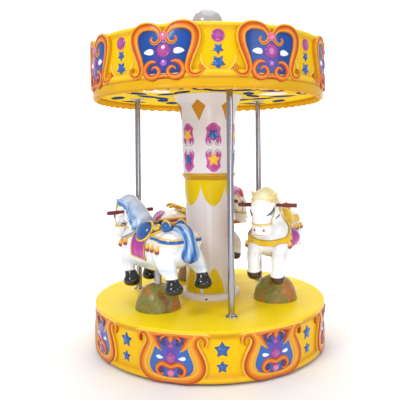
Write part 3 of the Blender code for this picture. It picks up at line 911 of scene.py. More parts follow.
class Finish(Enum):
    """Every finish on the ride."""

    DECK = Gloss("deck_lemon", "FFDE00", "lemon_yellow", mottle=0.04, dust=0.02, rub=0.01, roughness=0.36, coat=0.05,
        shine=0.12)
    # Painted shade and highlight: up the skirt the colour darkens at the foot, above the lip and under the rim, and
    # lightens on the lip's and the rim's rounded noses.
    SKIRT = Gloss("skirt_yellow", ((0.0, "D29A12"), (0.06, "F0BE22"), (0.12, "E2A80E"), (0.22, "EEBC00"),
        (0.78, "F4C400"), (0.85, "EEBC04"), (0.885, "CE9414"), (0.94, "DEA616"), (0.975, "F6CC10"), (1.0, "FFDA00")),
        carrier="rise", mottle=0.1, rub=0.06, coat=0.1, shine=0.15)
    # Painted shade and highlight: up the fascia the colour darkens at the foot and under each moulding, and lightens
    # on the mouldings' rounded noses.
    FASCIA = Gloss("fascia_yellow", ((0.0, "D8A010"), (0.04, "DEA812"), (0.12, "E0AC12"), (0.15, "C48C14"),
        (0.18, "E6B41C"), (0.24, "F2C828"), (0.285, "D8A414"), (0.33, "E8BC04"), (0.86, "F0C400"), (0.9, "DCAC18"),
        (0.94, "ECC220"), (0.97, "F4CE2A"), (1.0, "E8BA1C")), carrier="rise", mottle=0.1, coat=0.1, shine=0.15)
    FLANGE = Gloss("flange_gold", ((0.0, "DDA018"), (0.35, "F8D24A"), (0.65, "F6CC40"), (1.0, "DDA018")), mottle=0.12)
    SCROLL = Gloss("scroll_orange", ((0.0, "D89818"), (0.18, "ECB424"), (0.28, "B0380C"), (0.42, "C84C10"),
        (0.6, "D87018"), (0.82, "E8A030"), (1.0, "C46010")), **HAND_SHADED)
    CURL = Gloss("curl_orange", ((0.0, "9C3010"), (0.22, "C84812"), (0.5, "E49038"), (0.74, "D87418"),
        (1.0, "A8380C")), **HAND_SHADED)
    LYRE = Gloss("lyre_orange", ((0.0, "B03C0E"), (0.16, "C04C0E"), (0.34, "D47414"), (0.6, "E49828"),
        (0.86, "ECB03C"), (1.0, "C05410")), **HAND_SHADED)
    FIELD = Gloss("field_blue", ((0.0, "083070"), (0.25, "064494"), (1.0, "0C4CA0")),
        overlays=(("tint", "40308C", 0.5),), mottle=0.3, shine=0.25, scale=13.0)
    FIELD_LOW = Gloss("field_blue_low", ((0.0, "20488C"), (0.25, "2A64B4"), (1.0, "3470C0")),
        overlays=(("tint", "5C3CA4", 0.5),), mottle=0.22, scale=13.0)
    GEM_PINK = Gloss("gem_pink", ((0.0, "4C2C84"), (0.12, "98368E"), (0.5, "AC4094"), (1.0, "BC549C")), **POLISHED)
    GEM_ROSE = Gloss("gem_rose", ((0.0, "B8405C"), (0.15, "DC5C88"), (1.0, "E280A0")), **POLISHED)
    GEM_PURPLE = Gloss("gem_purple", ((0.0, "5C3CA0"), (0.3, "9450BC"), (1.0, "C078D0")), **POLISHED)
    ROUNDEL = Gloss("roundel_salmon", ((0.0, "F0A030"), (0.4, "F07858"), (1.0, "F090A8")), mottle=0.15)
    OVAL = Gloss("oval_white", ((0.0, "B8B4D0"), (0.25, "F4F2F6"), (1.0, "FFFFFF")), coat=0.9)
    # Painted shade: dark pieces that stand in for the shade in the openings and eyes of the skirt cartouche's curls.
    CURL_EYE_SHADE = Gloss("curl_eye_painted_shade", ((0.0, "4A3C80"), (0.4, "383060"), (1.0, "4A4478")), mottle=0.15)
    STAR = Gloss("star_blue", ((0.0, "143C78"), (0.2, "1450A4"), (1.0, "2060B4")), coat=0.9, roughness=0.2)
    EDGE_PLUM = Gloss("edge_plum", "5C3070", mottle=0.1)
    STAR_GOLD = Gloss("star_gold", ((0.0, "F09A60"), (0.3, "F2B63A"), (0.55, "EBC80C"), (1.0, "E8CC08")))
    SHIELD = Gloss("shield_magenta", ((0.0, "C85CB0"), (0.3, "B43C96"), (1.0, "BC4498")), mottle=0.15)
    KITE = Gloss("kite_ochre", "C88620", mottle=0.12, coat=0.0, roughness=0.5, shine=0.2)
    COLUMN = Gloss("column_lilac_white", "E4DCE2", "lilac_white", mottle=0.05, scale=4.0)
    PETAL = Gloss("petal_yellow", ((0.0, "E8C810"), (0.2, "E4C400"), (1.0, "E2C000")), mottle=0.08, coat=0.1,
        shine=0.15)
    RING = Gloss("ring_gold", "C8961C", mottle=0.14)
    CEILING = Gloss("ceiling_yellow", "FFD800", mottle=0.08, scale=4.0, coat=0.0, shine=0.05, roughness=0.6)
    VALANCE = Gloss("valance_gold", ((0.0, "E8A820"), (0.3, "FCC820"), (1.0, "D89818")), carrier="rise", mottle=0.12,
        coat=0.1, shine=0.2)
    LEAF = Gloss("leaf_blue", ((0.0, "0C1434"), (0.3, "0E2458"), (0.8, "143C80"), (1.0, "24589C")), mottle=0.15,
        coat=0.0, shine=0.05, roughness=0.7)
    PLAQUE = Gloss("plaque_white", "FFFFFF", coat=0.0, shine=0.2)
    ROOF = Gloss("roof_yellow", "E8BC10", mottle=0.12, dust=0.22)
    GLOBE = Gloss("globe_grey_white", "A8A6AE", "lamp_glass", mottle=0.05, roughness=0.22, coat=0.8, dust=0.12)
    STEEL = Steel("pole_stainless", "A8A4AC")
    FRAME = Steel("frame_paint", "2A2D30", "frame_steel", 0.55, 0.2, (12.0, 12.0, 12.0))
    ROCK = Sponge("rock_sponge", "rock_brown", ("4C3418", "7C5420", "8C7028", "6C7C30", "8C7C34", "A07430", "B46C30",
        "94481C", "5C3820"), 6.5)
    # Painted shade: along the attribute shade each coat turns from white on the back to bluish grey (warm grey on the
    # second coat) low on the body and upper legs.
    COAT_BLACK_HOOF = Gloss("coat_black_hoof_painted_shade", ((0.0, "FAFAFC"), (0.36, "F2F4F8"), (0.62, "D4DEEA"), (1.0, "A8BAD4")),
        "horse_white", **MOULDED, overlays=(("hoof", "0E0E12", 0.04),))
    COAT_BROWN_HOOF = Gloss("coat_brown_hoof_painted_shade", ((0.0, "FAFAFA"), (0.42, "F4F2F2"), (0.62, "E6E0DE"), (1.0, "D4CCC0")),
        "horse_white", **MOULDED, overlays=(("hoof", "3C1A12", 0.04),))
    MANE_BLUE = Gloss("mane_blue", ((0.0, "144084"), (0.25, "3470B8"), (0.5, "6C9CD0"), (0.75, "A8BCDC"),
        (1.0, "D4DEEE")), "trim_blue", carrier="strand")
    MANE_CREAM = Gloss("mane_cream", ((0.0, "C89C34"), (0.25, "DCB858"), (0.5, "E4CC84"), (0.75, "ECDCA8"),
        (1.0, "F4ECCC")), "trim_yellow", carrier="strand")
    MANE_PINK = Gloss("mane_pink", ((0.0, "8C3C94"), (0.25, "B45CB4"), (0.5, "D084CC"), (0.75, "E0A4DC"),
        (1.0, "F4D0F0")), "trim_pink", carrier="strand")
    PLUME_RED = Gloss("plume_red", ((0.0, "9C2428"), (0.5, "C83C44"), (1.0, "E86870")), "trim_pink", carrier="strand")
    # Painted highlight and shade on the saddles and seats: on each wing the colour lightens from the rim to the
    # crown, and across the seat it runs from dark on the horse's right to light on its left.
    SADDLE_BLUE = Gloss("saddle_blue", ((0.0, "0A3478"), (0.3, "0C5098"), (1.0, "1868B0")), "trim_blue", coat=0.9)
    SADDLE_GOLD = Gloss("saddle_gold", ((0.0, "C89C04"), (0.3, "E6B800"), (1.0, "F2CC00")), "trim_yellow", coat=0.5)
    SADDLE_PINK = Gloss("saddle_pink", ((0.0, "9C3488"), (0.3, "C44CA8"), (1.0, "E070C0")), "trim_pink", coat=0.9)
    SEAT_PALE = Gloss("seat_pale", ((0.0, "D8B8D4"), (0.4, "ECE0EC"), (1.0, "F8F4F8")), "trim_pink")
    # Painted shade and highlight: round each gold bar the colour runs from dark on one side to a bright band on the
    # other.
    RIM_GOLD = Gloss("rim_gold", ((0.0, "B08414"), (0.4, "E0B01C"), (0.75, "F4D450"), (1.0, "E8BC24")), coat=0.6)
    COLLAR_BLUE = Gloss("collar_blue", ((0.0, "C89828"), (0.16, "F0CC60"), (0.28, "7088B4"), (0.72, "90A4CC"),
        (0.84, "F0CC60"), (1.0, "C89828")), "trim_blue")
    COLLAR_GOLD = Gloss("collar_gold", GOLD_BAND, "trim_yellow")
    COLLAR_PINK = Gloss("collar_pink", ((0.0, "D89828"), (0.2, "E8B448"), (0.34, "9C3830"), (0.66, "A84038"),
        (0.8, "E8B448"), (1.0, "D89828")), "trim_pink")
    GIRTH_BLUE = Gloss("girth_blue", ((0.0, "E8B840"), (0.22, "F6D880"), (0.34, "2058A4"), (0.62, "2C66B4"),
        (0.74, "F4EAD0"), (1.0, "F4E8C4")), "trim_blue")
    GIRTH_GOLD = Gloss("girth_gold", GOLD_BAND, "trim_yellow")
    GIRTH_PINK = Gloss("girth_pink", ((0.0, "D89828"), (0.2, "F0B840"), (0.34, "9C3830"), (0.66, "A84038"),
        (0.8, "F4C050"), (1.0, "D89828")), "trim_pink")
    BLANKET = Gloss("blanket_magenta", ((0.0, "6A48A8"), (0.3, "A43C9C"), (0.7, "C43C9C"), (1.0, "B03494")), "maroon",
        mottle=0.2)
    TASSEL = Gloss("tassel_rust", ((0.0, "7A2818"), (0.42, "B04C24"), (0.58, "E8B040"), (1.0, "F4CC58")), "maroon")
    BRIDLE = Gloss("bridle_gold", ((0.0, "A88438"), (0.3, "ECCC68"), (0.7, "F6E4A0"), (1.0, "A88438")))
    REIN = Gloss("rein_brown", "5A2818", "maroon")
    LASH = Gloss("lash_dark", "24282A", "maroon", coat=0.2)
    LIP = Gloss("lip_red", "C44038", "maroon")
    GRIP = Gloss("grip_maroon", "742030", "maroon", coat=0.3, roughness=0.35)
    # Painted shade: a dark oval that stands in for the shade inside the lock slot.
    LOCK_SLOT_SHADE = Gloss("lock_slot_painted_shade", "1C1A1A", "lilac_white", roughness=0.6, coat=0.0)


def turned_piece(name: str, profile: Sequence[Point], steps: int, finish: Finish, nodes: Sequence[str],
        closed: bool = True, centre: Point = (0.0, 0.0)) -> None:
    """Adds a turned piece on the turntable that stands for CAD nodes.

    Args:
        name: Name of the piece.
        profile: Corners with fillets, as filleted() takes them.
        steps: Facets round the axis.
        finish: Its finish.
        nodes: CAD nodes that it replaces.
        closed: True where the profile is a loop.
        centre: Place of the axis.
    """
    add_piece(name, turned_mesh(name, filleted(profile), steps, closed, centre), [finish], nodes)


def drilled(mesh: Mesh, places: Sequence[Vector], radius: float, low: float, high: float) -> Mesh:
    """Mesh with upright round holes cut through it.

    Args:
        mesh: The solid mesh.
        places: Middle of each hole.
        radius: Radius of the holes.
        low: Height under the solid.
        high: Height over the solid.

    Returns:
        The drilled mesh, under the same name.
    """
    scraps = [placed("drilled_body", mesh)]
    for place in places:
        bm = bmesh.new()
        bmesh.ops.create_cone(bm, cap_ends=True, segments=POLE_STEPS, radius1=radius, radius2=radius,
            depth=high - low)
        bmesh.ops.translate(bm, verts=bm.verts, vec=(place.x, place.y, (high + low) / 2))
        tool = bpy.data.meshes.new("drill_bit")
        bm.to_mesh(tool)
        bm.free()
        scraps.append(placed("drill_bit", tool))
        hole = scraps[0].modifiers.new("hole", "BOOLEAN")
        hole.operation, hole.object, hole.solver = "DIFFERENCE", scraps[-1], "EXACT"
    return baked(scraps, mesh.name)


def baked(scraps: Sequence[Object], name: str) -> Mesh:
    """Mesh of an object with its modifiers applied.

    Args:
        scraps: The object, then its tools; all are removed.
        name: Name of the mesh.

    Returns:
        The mesh.
    """
    bpy.context.view_layer.update()
    made = bpy.data.meshes.new_from_object(scraps[0].evaluated_get(bpy.context.evaluated_depsgraph_get()))
    for scrap in scraps:
        bpy.data.objects.remove(scrap)
    made.name = name
    return made


def round_the_ring(name: str, relief: Relief, finishes: Sequence[Finish], angles: Sequence[float]) -> None:
    """Puts copies of an ornament on the turntable at several angles.

    Args:
        name: Name of the ornament; each copy adds its number.
        relief: The ornament, made at angle 0.
        finishes: Finishes by number.
        angles: Angle of each copy.
    """
    mesh = relief.mesh(name)
    for k, angle in enumerate(angles):
        add_piece(f"{name}_{k + 1}", mesh, finishes, matrix=spun(angle))


@dataclass
class GroundFrame:
    """Fixed cross and spindle under the drum, which keep their CAD shapes."""

    finishes: dict[str, Finish] = field(default_factory=lambda: {"ground_cross": Finish.FRAME,
        "spindle_post": Finish.STEEL, "deck_spider": Finish.FRAME})

    def build(self) -> None:
        """Dresses the hidden steelwork."""
        for name, finish in self.finishes.items():
            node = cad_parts[name]
            node.data.materials.clear()
            node.data.materials.append(finish.value.material())
            log.info("%s dressed", name)


@dataclass
class BaseDrum:
    """Round drum with the deck on top and lyre-shaped cartouches on its skirt.

    Attributes:
        deck_radius: Radius of the lemon deck inside the skirt's rim.
        deck_bottom: Underside of the deck.
        panel_radius: Radius of the plain panels' recess.
        cartouche_angles: Middle lines of the cartouches.
        panel_angles: Middle lines of the plain panels.
        rod_hole: Radius of the holes for the lift rods.
    """

    deck_radius: float = 0.738
    deck_bottom: float = 0.2622
    panel_radius: float = 0.728
    cartouche_angles: tuple[float, ...] = tuple(28.5 + 45 * k for k in range(8))
    panel_angles: tuple[float, ...] = tuple(5.0 + 45 * k for k in range(8))
    rod_hole: float = 0.0232

    def build(self) -> None:
        """Makes the deck, the skirt and their ornament."""
        self.deck()
        self.skirt()
        self.cartouches()
        self.stars()

    def deck(self) -> None:
        """Lemon disc with a hole for each lift rod."""
        edge, low = self.deck_radius, self.deck_bottom
        profile = [(0.0, DECK_TOP), (edge - 0.03, DECK_TOP), (edge, DECK_TOP), (edge, low), (0.0, low)]
        holes = [on_circle(angle, ROD_CIRCLE) for angle in ROD_ANGLES.values()]
        mesh = turned_mesh("deck_disc", profile, BIG_STEPS, closed=False)
        add_piece("deck_disc", drilled(mesh, holes, self.rod_hole, low - 0.02, DECK_TOP + 0.02), [Finish.DECK],
            ["deck"])

    def skirt(self) -> None:
        """Skirt with a rounded rim, a recess for the panels and a lip at the bottom."""
        inner = self.deck_radius + 0.0004
        profile = [(inner, 0.29), (0.7415, 0.291, 0.003), (0.746, 0.286, 0.004), (0.746, 0.27, 0.003),
            (0.7425, 0.266, 0.002), (0.7425, 0.256, 0.004), (0.734, 0.249, 0.004), (self.panel_radius, 0.24, 0.006),
            (self.panel_radius, 0.15), (self.panel_radius, 0.052, 0.008), (0.741, 0.043, 0.006), (0.745, 0.03, 0.006),
            (0.741, 0.014, 0.003), (0.722, 0.014), (0.712, 0.03), (0.712, 0.2618), (inner, 0.2618)]
        turned_piece("skirt_moulding", profile, BIG_STEPS, Finish.SKIRT, ["base_skirt"])

    def cartouches(self) -> None:
        """Lyre of orange bands round a blue field with gems, eight times round the skirt."""
        wall = Wall(((0.0, 0.74), (0.3, 0.74)), 0.74)
        relief = Relief(wall, root=0.018)
        lyre = metres((0, 27, 13), (52, 29, 17), (92, 33, 22), (128, 45, 25), (154, 68, 26.5), (163, 100, 27.5),
            (154, 140, 26.5), (136, 178, 24.5), (123, 212, 22), (127, 243, 19.5), (147, 264, 17), (174, 265, 14.5),
            (192, 247, 13), (193, 224, 10.5), (183, 208, 5.5))
        gold, band, curl, blue, pink, rose, oval, dark = range(8)
        border = [(u, v, min(w + 0.012, 0.287 - v, v - 0.0145)) for u, v, w in lyre[:-3]]
        relief.ribbon(border, 0.0035, gold, Section.FLAT, both=True)
        relief.ribbon(metres((0, 277.5, 11), (60, 276, 12), (130, 277.5, 11), (190, 275.5, 10), (215, 268, 6)),
            0.0075, gold, both=True)
        field_edge = metres((0, 262), (50, 268), (100, 262), (112, 225), (120, 190), (136, 150), (149, 106),
            (142, 68), (110, 46), (60, 34))
        loop = smooth_line(field_edge + [(0.0, 0.03)] + mirrored(field_edge[1:]), 3, closed=True)
        relief.pad(loop, 0.002, blue, centre=(0.0, 0.15), rings=14, round_edge=1.0, tinted=self.purple)
        relief.ribbon(lyre, 0.01, band, Section.RIMMED, both=True)
        relief.ribbon(metres((0, 263, 16), (50, 266.5, 14.5), (95, 262, 16), (125, 262, 11)), 0.008, curl, both=True)
        relief.ribbon(metres((110, 255, 24), (96, 232, 23), (80, 208, 17), (64, 190, 10), (50, 177, 2)), 0.0085, band,
            both=True)
        relief.ribbon(metres((0, 256, 26), (0, 240, 20), (0, 226, 10)), 0.0085, curl)
        # Painted shade: the dark comma and disc fill the openings of the upper curls, where shade falls.
        comma = metres((50, 252, 7), (58, 240, 12.5), (52, 224, 12.5), (38, 214, 10), (26, 208, 4))
        relief.ribbon(comma, 0.0105, dark, both=True)
        relief.disc(0.047, 0.233, 0.019, 0.019, 0.011, dark, both=True)
        relief.ribbon(metres((30, 258, 9), (46, 250, 8.5), (56, 238, 6.5), (48, 229, 5), (41, 235, 2)), 0.014, curl,
            both=True)
        tail = metres((0, 94, 15), (20, 102, 16), (42, 109, 16), (64, 102, 15), (78, 81, 13.5), (71, 59, 11),
            (53, 52, 8.5), (42, 62, 3.5))
        # Painted shade: a dark disc in the eye of each lower spiral.
        relief.disc(0.05, 0.076, 0.017, 0.018, 0.0035, dark, both=True)
        relief.ribbon(tail, 0.0085, curl, both=True)
        relief.disc(0.0, 0.207, 0.015, 0.016, 0.0055, pink)
        relief.disc(0.0, 0.14, 0.029, 0.029, 0.0085, pink)
        relief.disc(0.0, 0.062, 0.021, 0.019, 0.009, rose)
        drop = metres((40, 140), (52, 133.5), (68, 131.5), (82, 137), (85, 145), (78, 152.5), (64, 152.5), (50, 147))
        relief.pad(smooth_line(drop, 4, closed=True), 0.0055, oval, both=True)
        names = [Finish.FLANGE, Finish.LYRE, Finish.CURL, Finish.FIELD_LOW, Finish.GEM_PINK, Finish.GEM_ROSE,
            Finish.OVAL, Finish.CURL_EYE_SHADE]
        round_the_ring("skirt_cartouche", relief, names, self.cartouche_angles)

    @staticmethod
    def purple(along: float, height: float) -> float:
        """Share of purple in the blue field at a place, strongest down its middle."""
        return exp(-((along / 0.05) ** 2) - ((height - 0.165) / 0.075) ** 4)

    def stars(self) -> None:
        """Two plump blue stars on each plain panel, the larger one on top."""
        relief = Relief(Wall(((0.0, self.panel_radius), (0.3, self.panel_radius)), self.panel_radius))
        relief.star(0.0, 0.188, 0.047, 0.008, 0)
        relief.star(0.0, 0.097, 0.0355, 0.007, 0)
        round_the_ring("skirt_stars", relief, [Finish.STAR], self.panel_angles)


@dataclass
class Column:
    """Centre column: foot ring, lower column, gold ring and the flared upper column.

    Attributes:
        motif_angles: Middle lines of shields and petals.
        kite_angles: Middle lines of the kites.
        flare: (height, radius) points up the outside of the upper column.
    """

    motif_angles: tuple[float, ...] = tuple(11.0 + 60 * k for k in range(6))
    kite_angles: tuple[float, ...] = tuple(-19.0 + 60 * k for k in range(6))
    flare: tuple[tuple[float, float], ...] = tuple(metres((1096.3, 169), (1250, 175), (1434, 178), (1481, 184),
        (1537, 194), (1570, 210), (1603.7, 230)))

    def build(self) -> None:
        """Makes the four turned pieces and their painted relief."""
        self.foot_ring()
        self.lower()
        self.ring()
        self.upper()
        self.shields()
        self.kites()

    def foot_ring(self) -> None:
        """Low white ring with a small lock slot at the front, shown as a dark oval of painted shade."""
        profile = metres((155.5, 328), (190, 328, 12), (199, 312, 12), (199, 290.3), (155.5, 290.3))
        turned_piece("column_foot_moulding", profile, COLUMN_STEPS, Finish.COLUMN, ["column_foot_ring"])
        slot = Relief(Wall(((0.29, 0.1988), (0.33, 0.1988)), 0.1988), root=0.003)
        # Painted shade: the dark oval fills the lock slot's opening.
        slot.disc(0.0, 0.304, 0.009, 0.0045, 0.0012, 0)
        add_piece("foot_ring_slot", slot.mesh("foot_ring_slot"), [Finish.LOCK_SLOT_SHADE], matrix=spun(-6))

    def lower(self) -> None:
        """White lower column with yellow petals hanging from the ring and rising from the foot."""
        profile = metres((155, 1055.7), (155, 800), (155, 500), (155, 290.3), (145, 290.3), (145, 1055.7))
        turned_piece("lower_column_shell", profile, COLUMN_STEPS, Finish.COLUMN, ["lower_column"])
        half = 0.155 * radians(30)
        side = [(half, 1.01), (half * 0.97, 0.998), (half * 0.86, 0.968), (half * 0.66, 0.934), (half * 0.4, 0.905),
            (half * 0.15, 0.89), (0.0, 0.887)]
        across = [(u, 1.0553) for u in np.linspace(-half, half, 9)]
        loop = across + smooth_line(side, 3).tolist() + smooth_line(mirrored(side), 3).tolist()[1:]
        self.petals("hanging_petal", loop, 0.0055, 0.99)
        side = [(0.0, 0.487), (half * 0.12, 0.483), (half * 0.36, 0.456), (half * 0.62, 0.412), (half * 0.84, 0.356),
            (half * 0.97, 0.3)]
        floor = [(u, 0.2915) for u in np.linspace(half * 0.97, -half * 0.97, 9)]
        loop = smooth_line(side, 3).tolist() + floor + smooth_line(mirrored(side), 3).tolist()[:-1]
        self.petals("rising_petal", loop, 0.0035, 0.345)

    def petals(self, name: str, loop: Sequence[Point], height: float, middle: float) -> None:
        """Puts a domed petal on the lower column under each motif.

        Args:
            name: Name of the petals.
            loop: Their outline.
            height: Lift of their middle.
            middle: Height of their middle.
        """
        relief = Relief(Wall(((0.2, 0.1552), (1.1, 0.1552)), 0.155))
        relief.pad(loop, height, 0, centre=(0.0, middle), rings=7, round_edge=0.45)
        round_the_ring(name, relief, [Finish.PETAL], self.motif_angles)

    def ring(self) -> None:
        """Gold ring with a rounded nose and a tapering underside."""
        profile = metres((145, 1096), (172, 1096, 4), (178, 1090, 4), (178, 1080, 4), (171, 1072, 3), (163, 1056),
            (145, 1056))
        turned_piece("column_gold_ring", profile, COLUMN_STEPS, Finish.RING, ["column_ring"])

    def upper(self) -> None:
        """White upper column with a trumpet flare under the ceiling."""
        outer = smooth_line([(r, z) for z, r in reversed(self.flare)], 4).tolist()
        profile = outer + metres((159, 1096.3), (166, 1434), (184, 1537), (218, 1603.7))
        turned_piece("upper_column_shell", profile, COLUMN_STEPS, Finish.COLUMN, ["upper_column"])

    def wall(self, lift: float = 0.0002) -> Wall:
        """The upper column's outside, as a wall for ornament."""
        line = smooth_line(self.flare, 4)
        return Wall(tuple((z, r + lift) for z, r in line), 0.177)

    def shields(self) -> None:
        """Magenta shields with curled feet and a star, upright in the upper row, mirrored in the lower."""
        side = metres((0, 74), (16, 71), (32, 58), (50, 40), (47.5, 29), (44, 12), (48, -8), (53.5, -28), (53.5, -48),
            (43, -64), (25, -66))
        plate, star_number, hook_edge, hook_fill = range(4)
        for row, (middle, flip) in enumerate(((1.3455, 1.0), (1.179, -1.0))):
            for k, angle in enumerate(self.motif_angles):
                relief = Relief(self.wall())
                arc = smooth_line(side, 3).tolist()
                loop = arc + metres((16, -38), (0, -34), (-16, -38)) + mirrored(arc[1:])
                loop = [(u, middle + flip * v) for u, v in loop]
                relief.pad(loop, 0.002, plate, centre=(0.0, middle), rings=5, round_edge=0.4)
                hook = metres((36, -44, 3), (38, -55, 5.5), (28, -64, 6.5), (16, -60, 5.5), (13, -51, 4),
                    (19, -46, 1.5))
                line = [(u, middle + flip * v, w) for u, v, w in hook]
                relief.ribbon([(u, v, w + 0.001) for u, v, w in line], 0.0024, hook_edge, both=True)
                relief.ribbon([(u, v, w * 0.85) for u, v, w in line], 0.0034, hook_fill, both=True)
                gold = (k + row) % 2 == 1
                size = 0.048 if gold else 0.044
                relief.star(0.0, middle - flip * 0.004, size, 0.0045, star_number, down=flip > 0, base=0.002)
                star = Finish.STAR_GOLD if gold else Finish.STAR
                name = f"{'upper' if flip > 0 else 'lower'}_shield_{k + 1}"
                finishes = [Finish.SHIELD, star, Finish.EDGE_PLUM, Finish.COLUMN]
                add_piece(name, relief.mesh(name), finishes, matrix=spun(angle))

    def kites(self) -> None:
        """Ochre kites under the flare."""
        relief = Relief(self.wall())
        corners = metres((0, 1567), (44.5, 1526.5), (0, 1431), (-44.5, 1526.5))
        loop = []
        for k in range(4):
            a, b = np.array(corners[k]), np.array(corners[(k + 1) % 4])
            loop += [tuple(a + (b - a) * t) for t in (0.03, 0.25, 0.5, 0.75, 0.97)]
        relief.pad(loop, 0.001, 0, centre=(0.0, 1.52), rings=8, round_edge=0.12)
        round_the_ring("column_kite", relief, [Finish.KITE], self.kite_angles)


@dataclass
class Canopy:
    """Round canopy: fascia with heart-shaped cartouches, ceiling, scalloped valance, roof and lamp.

    Attributes:
        radius: Radius of the fascia's plain panels.
        bottom: Height of the fascia's lower edge.
        ceiling_height: Underside of the ceiling.
        cartouche_angles: Middle lines of the cartouches.
        panel_angles: Middle lines of the plain panels.
    """

    radius: float = 0.74
    bottom: float = 1.56
    ceiling_height: float = 1.604
    cartouche_angles: tuple[float, ...] = tuple(27.0 + 45 * k for k in range(8))
    panel_angles: tuple[float, ...] = tuple(4.3 + 45 * k for k in range(8))

    def build(self) -> None:
        """Makes the canopy from the fascia up to the lamp."""
        self.fascia()
        self.cartouches()
        self.panels()
        self.valance()
        self.ceiling()
        self.roof()
        self.lamp()

    def wall(self) -> Wall:
        """The fascia's outside, as a wall for ornament."""
        return Wall(((1.55, 0.7555), (1.95, 0.7555)), 0.7555)

    def fascia(self) -> None:
        """Fascia drum with a moulding above and below its panels."""
        r = self.radius
        profile = [(0.727, 1.916), (0.746, 1.916, 0.004), (0.755, 1.909, 0.004), (0.755, 1.896, 0.004),
            (0.745, 1.889, 0.003), (r, 1.878, 0.005), (r, 1.78), (r, 1.672, 0.006), (0.749, 1.661, 0.004),
            (0.757, 1.648, 0.006), (0.756, 1.632, 0.004), (0.751, 1.622, 0.003), (0.7525, 1.616, 0.002),
            (0.749, 1.609, 0.003), (0.749, 1.585, 0.004), (0.753, 1.579, 0.003), (0.751, self.bottom + 0.012, 0.002),
            (0.7375, self.bottom + 0.012), (0.7375, 1.6045), (0.727, 1.6045)]
        turned_piece("fascia_moulding", profile, BIG_STEPS, Finish.FASCIA, ["canopy_fascia"])

    def cartouches(self) -> None:
        """Heart of orange bands round a blue field with gems, eight times round the fascia."""
        relief = Relief(self.wall(), root=0.018)
        outer = metres((193, 1686, 6), (211, 1675, 9), (204, 1652, 12), (178, 1637, 15), (147, 1644, 18),
            (135, 1672, 23), (139, 1697, 26), (148, 1727, 28), (160, 1757, 30), (173, 1791, 32), (181, 1838, 34.5),
            (170, 1874, 34), (138, 1898, 32), (101, 1904, 30), (68, 1900, 28), (42, 1889, 23), (20, 1866, 18),
            (17, 1838, 14), (33, 1814, 12.5), (58, 1810, 11.5), (72, 1828, 9), (64, 1844, 6))
        band, curl, blue, pink, purple, oval, rose = range(7)
        side = metres((30, 1876), (70, 1889), (120, 1886), (156, 1868), (172, 1838), (162, 1790), (150, 1750),
            (135, 1700), (124, 1662), (100, 1640), (50, 1636))
        loop = [(0.0, 1.858)] + side + [(0.0, 1.64)] + mirrored(side)
        relief.pad(smooth_line(loop, 3, closed=True), 0.0025, blue, centre=(0.0, 1.77), rings=14, round_edge=1.0,
            tinted=self.purple)
        relief.ribbon([(u, v, w * 0.8) for u, v, w in outer], 0.0105, band, Section.RIMMED, both=True)
        scroll = metres((44, 1708, 6), (68, 1711, 12), (94, 1698, 15.5), (109, 1668, 16.5), (98, 1638, 16.5),
            (68, 1626, 16.5), (36, 1636, 15), (26, 1660, 12.5), (40, 1680, 10.5), (60, 1679, 7.5), (68, 1667, 3.5))
        relief.ribbon(scroll, 0.01, curl, both=True)
        relief.ribbon(metres((0, 1634, 12), (18, 1632, 11), (36, 1630, 8)), 0.0065, curl, both=True)
        relief.disc(0.0, 1.846, 0.026, 0.026, 0.013, rose)
        relief.disc(0.0, 1.77, 0.04, 0.04, 0.012, pink)
        relief.disc(0.0, 1.704, 0.0205, 0.0205, 0.0085, purple)
        drop = metres((60, 1750), (84, 1748), (107, 1755), (118, 1763), (107, 1775), (84, 1783), (61, 1778),
            (54, 1764))
        relief.pad(smooth_line(drop, 4, closed=True), 0.0065, oval, both=True)
        names = [Finish.SCROLL, Finish.CURL, Finish.FIELD, Finish.GEM_PINK, Finish.GEM_PURPLE, Finish.OVAL,
            Finish.GEM_ROSE]
        round_the_ring("fascia_cartouche", relief, names, self.cartouche_angles)

    @staticmethod
    def purple(along: float, height: float) -> float:
        """Share of purple in the blue field at a place, strongest round the large gem and under it."""
        ring = exp(-((hypot(along, height - 1.77) / 0.062) ** 4))
        return ring + exp(-((along / 0.05) ** 2) - ((height - 1.715) / 0.05) ** 2)

    def panels(self) -> None:
        """Pink boss over two blue stars on each plain panel, and the moulding's rising corners."""
        relief = Relief(Wall(((1.5, self.radius), (2.0, self.radius)), self.radius))
        relief.disc(0.0, 1.842, 0.041, 0.041, 0.003, 0, round_edge=0.3)
        relief.disc(0.0, 1.842, 0.0335, 0.0335, 0.007, 1, base=0.002)
        relief.star(0.0, 1.773, 0.0335, 0.007, 2, down=True)
        relief.star(0.0, 1.701, 0.044, 0.008, 2, down=True)
        corner = metres((46, 1664, 6), (66, 1676, 9), (82, 1696, 10), (92, 1722, 7), (95, 1745, 3))
        relief.ribbon(corner, 0.006, 3, both=True)
        names = [Finish.ROUNDEL, Finish.GEM_PINK, Finish.STAR, Finish.FLANGE]
        round_the_ring("fascia_stars", relief, names, self.panel_angles)

    def valance(self) -> None:
        """Ochre inner valance with a wavy lower edge."""
        waves, outer, inner = 64, 0.7372, 0.7285
        vertices, rise = [], []
        for turn in turns(waves * 8):
            low = self.bottom + 0.0005 + 0.012 * (1 - abs(sin(turn * waves / 2)) ** 0.7)
            for radius, height, share in ((outer, UNDER_CEILING, 1.0), (outer, low, 0.0), (inner, low, 0.0),
                    (inner - 0.001, UNDER_CEILING, 1.0)):
                vertices.append((radius * sin(turn), -radius * cos(turn), height))
                rise.append(share)
        mesh = mesh_of("inner_valance", (vertices, bands(waves * 8, 4, closed=True)), rise=rise)
        add_piece("inner_valance", mesh, [Finish.VALANCE])

    def ceiling(self) -> None:
        """Ceiling disc with painted leaves between white plaques, seen from below."""
        z = self.ceiling_height
        profile = [(0.7265, z + 0.012), (0.7265, z), (0.5, z), (0.231, z), (0.219, z + 0.012)]
        turned_piece("ceiling_disc", profile, BIG_STEPS, Finish.CEILING, ["canopy_ceiling"])
        bundle = Bundle()

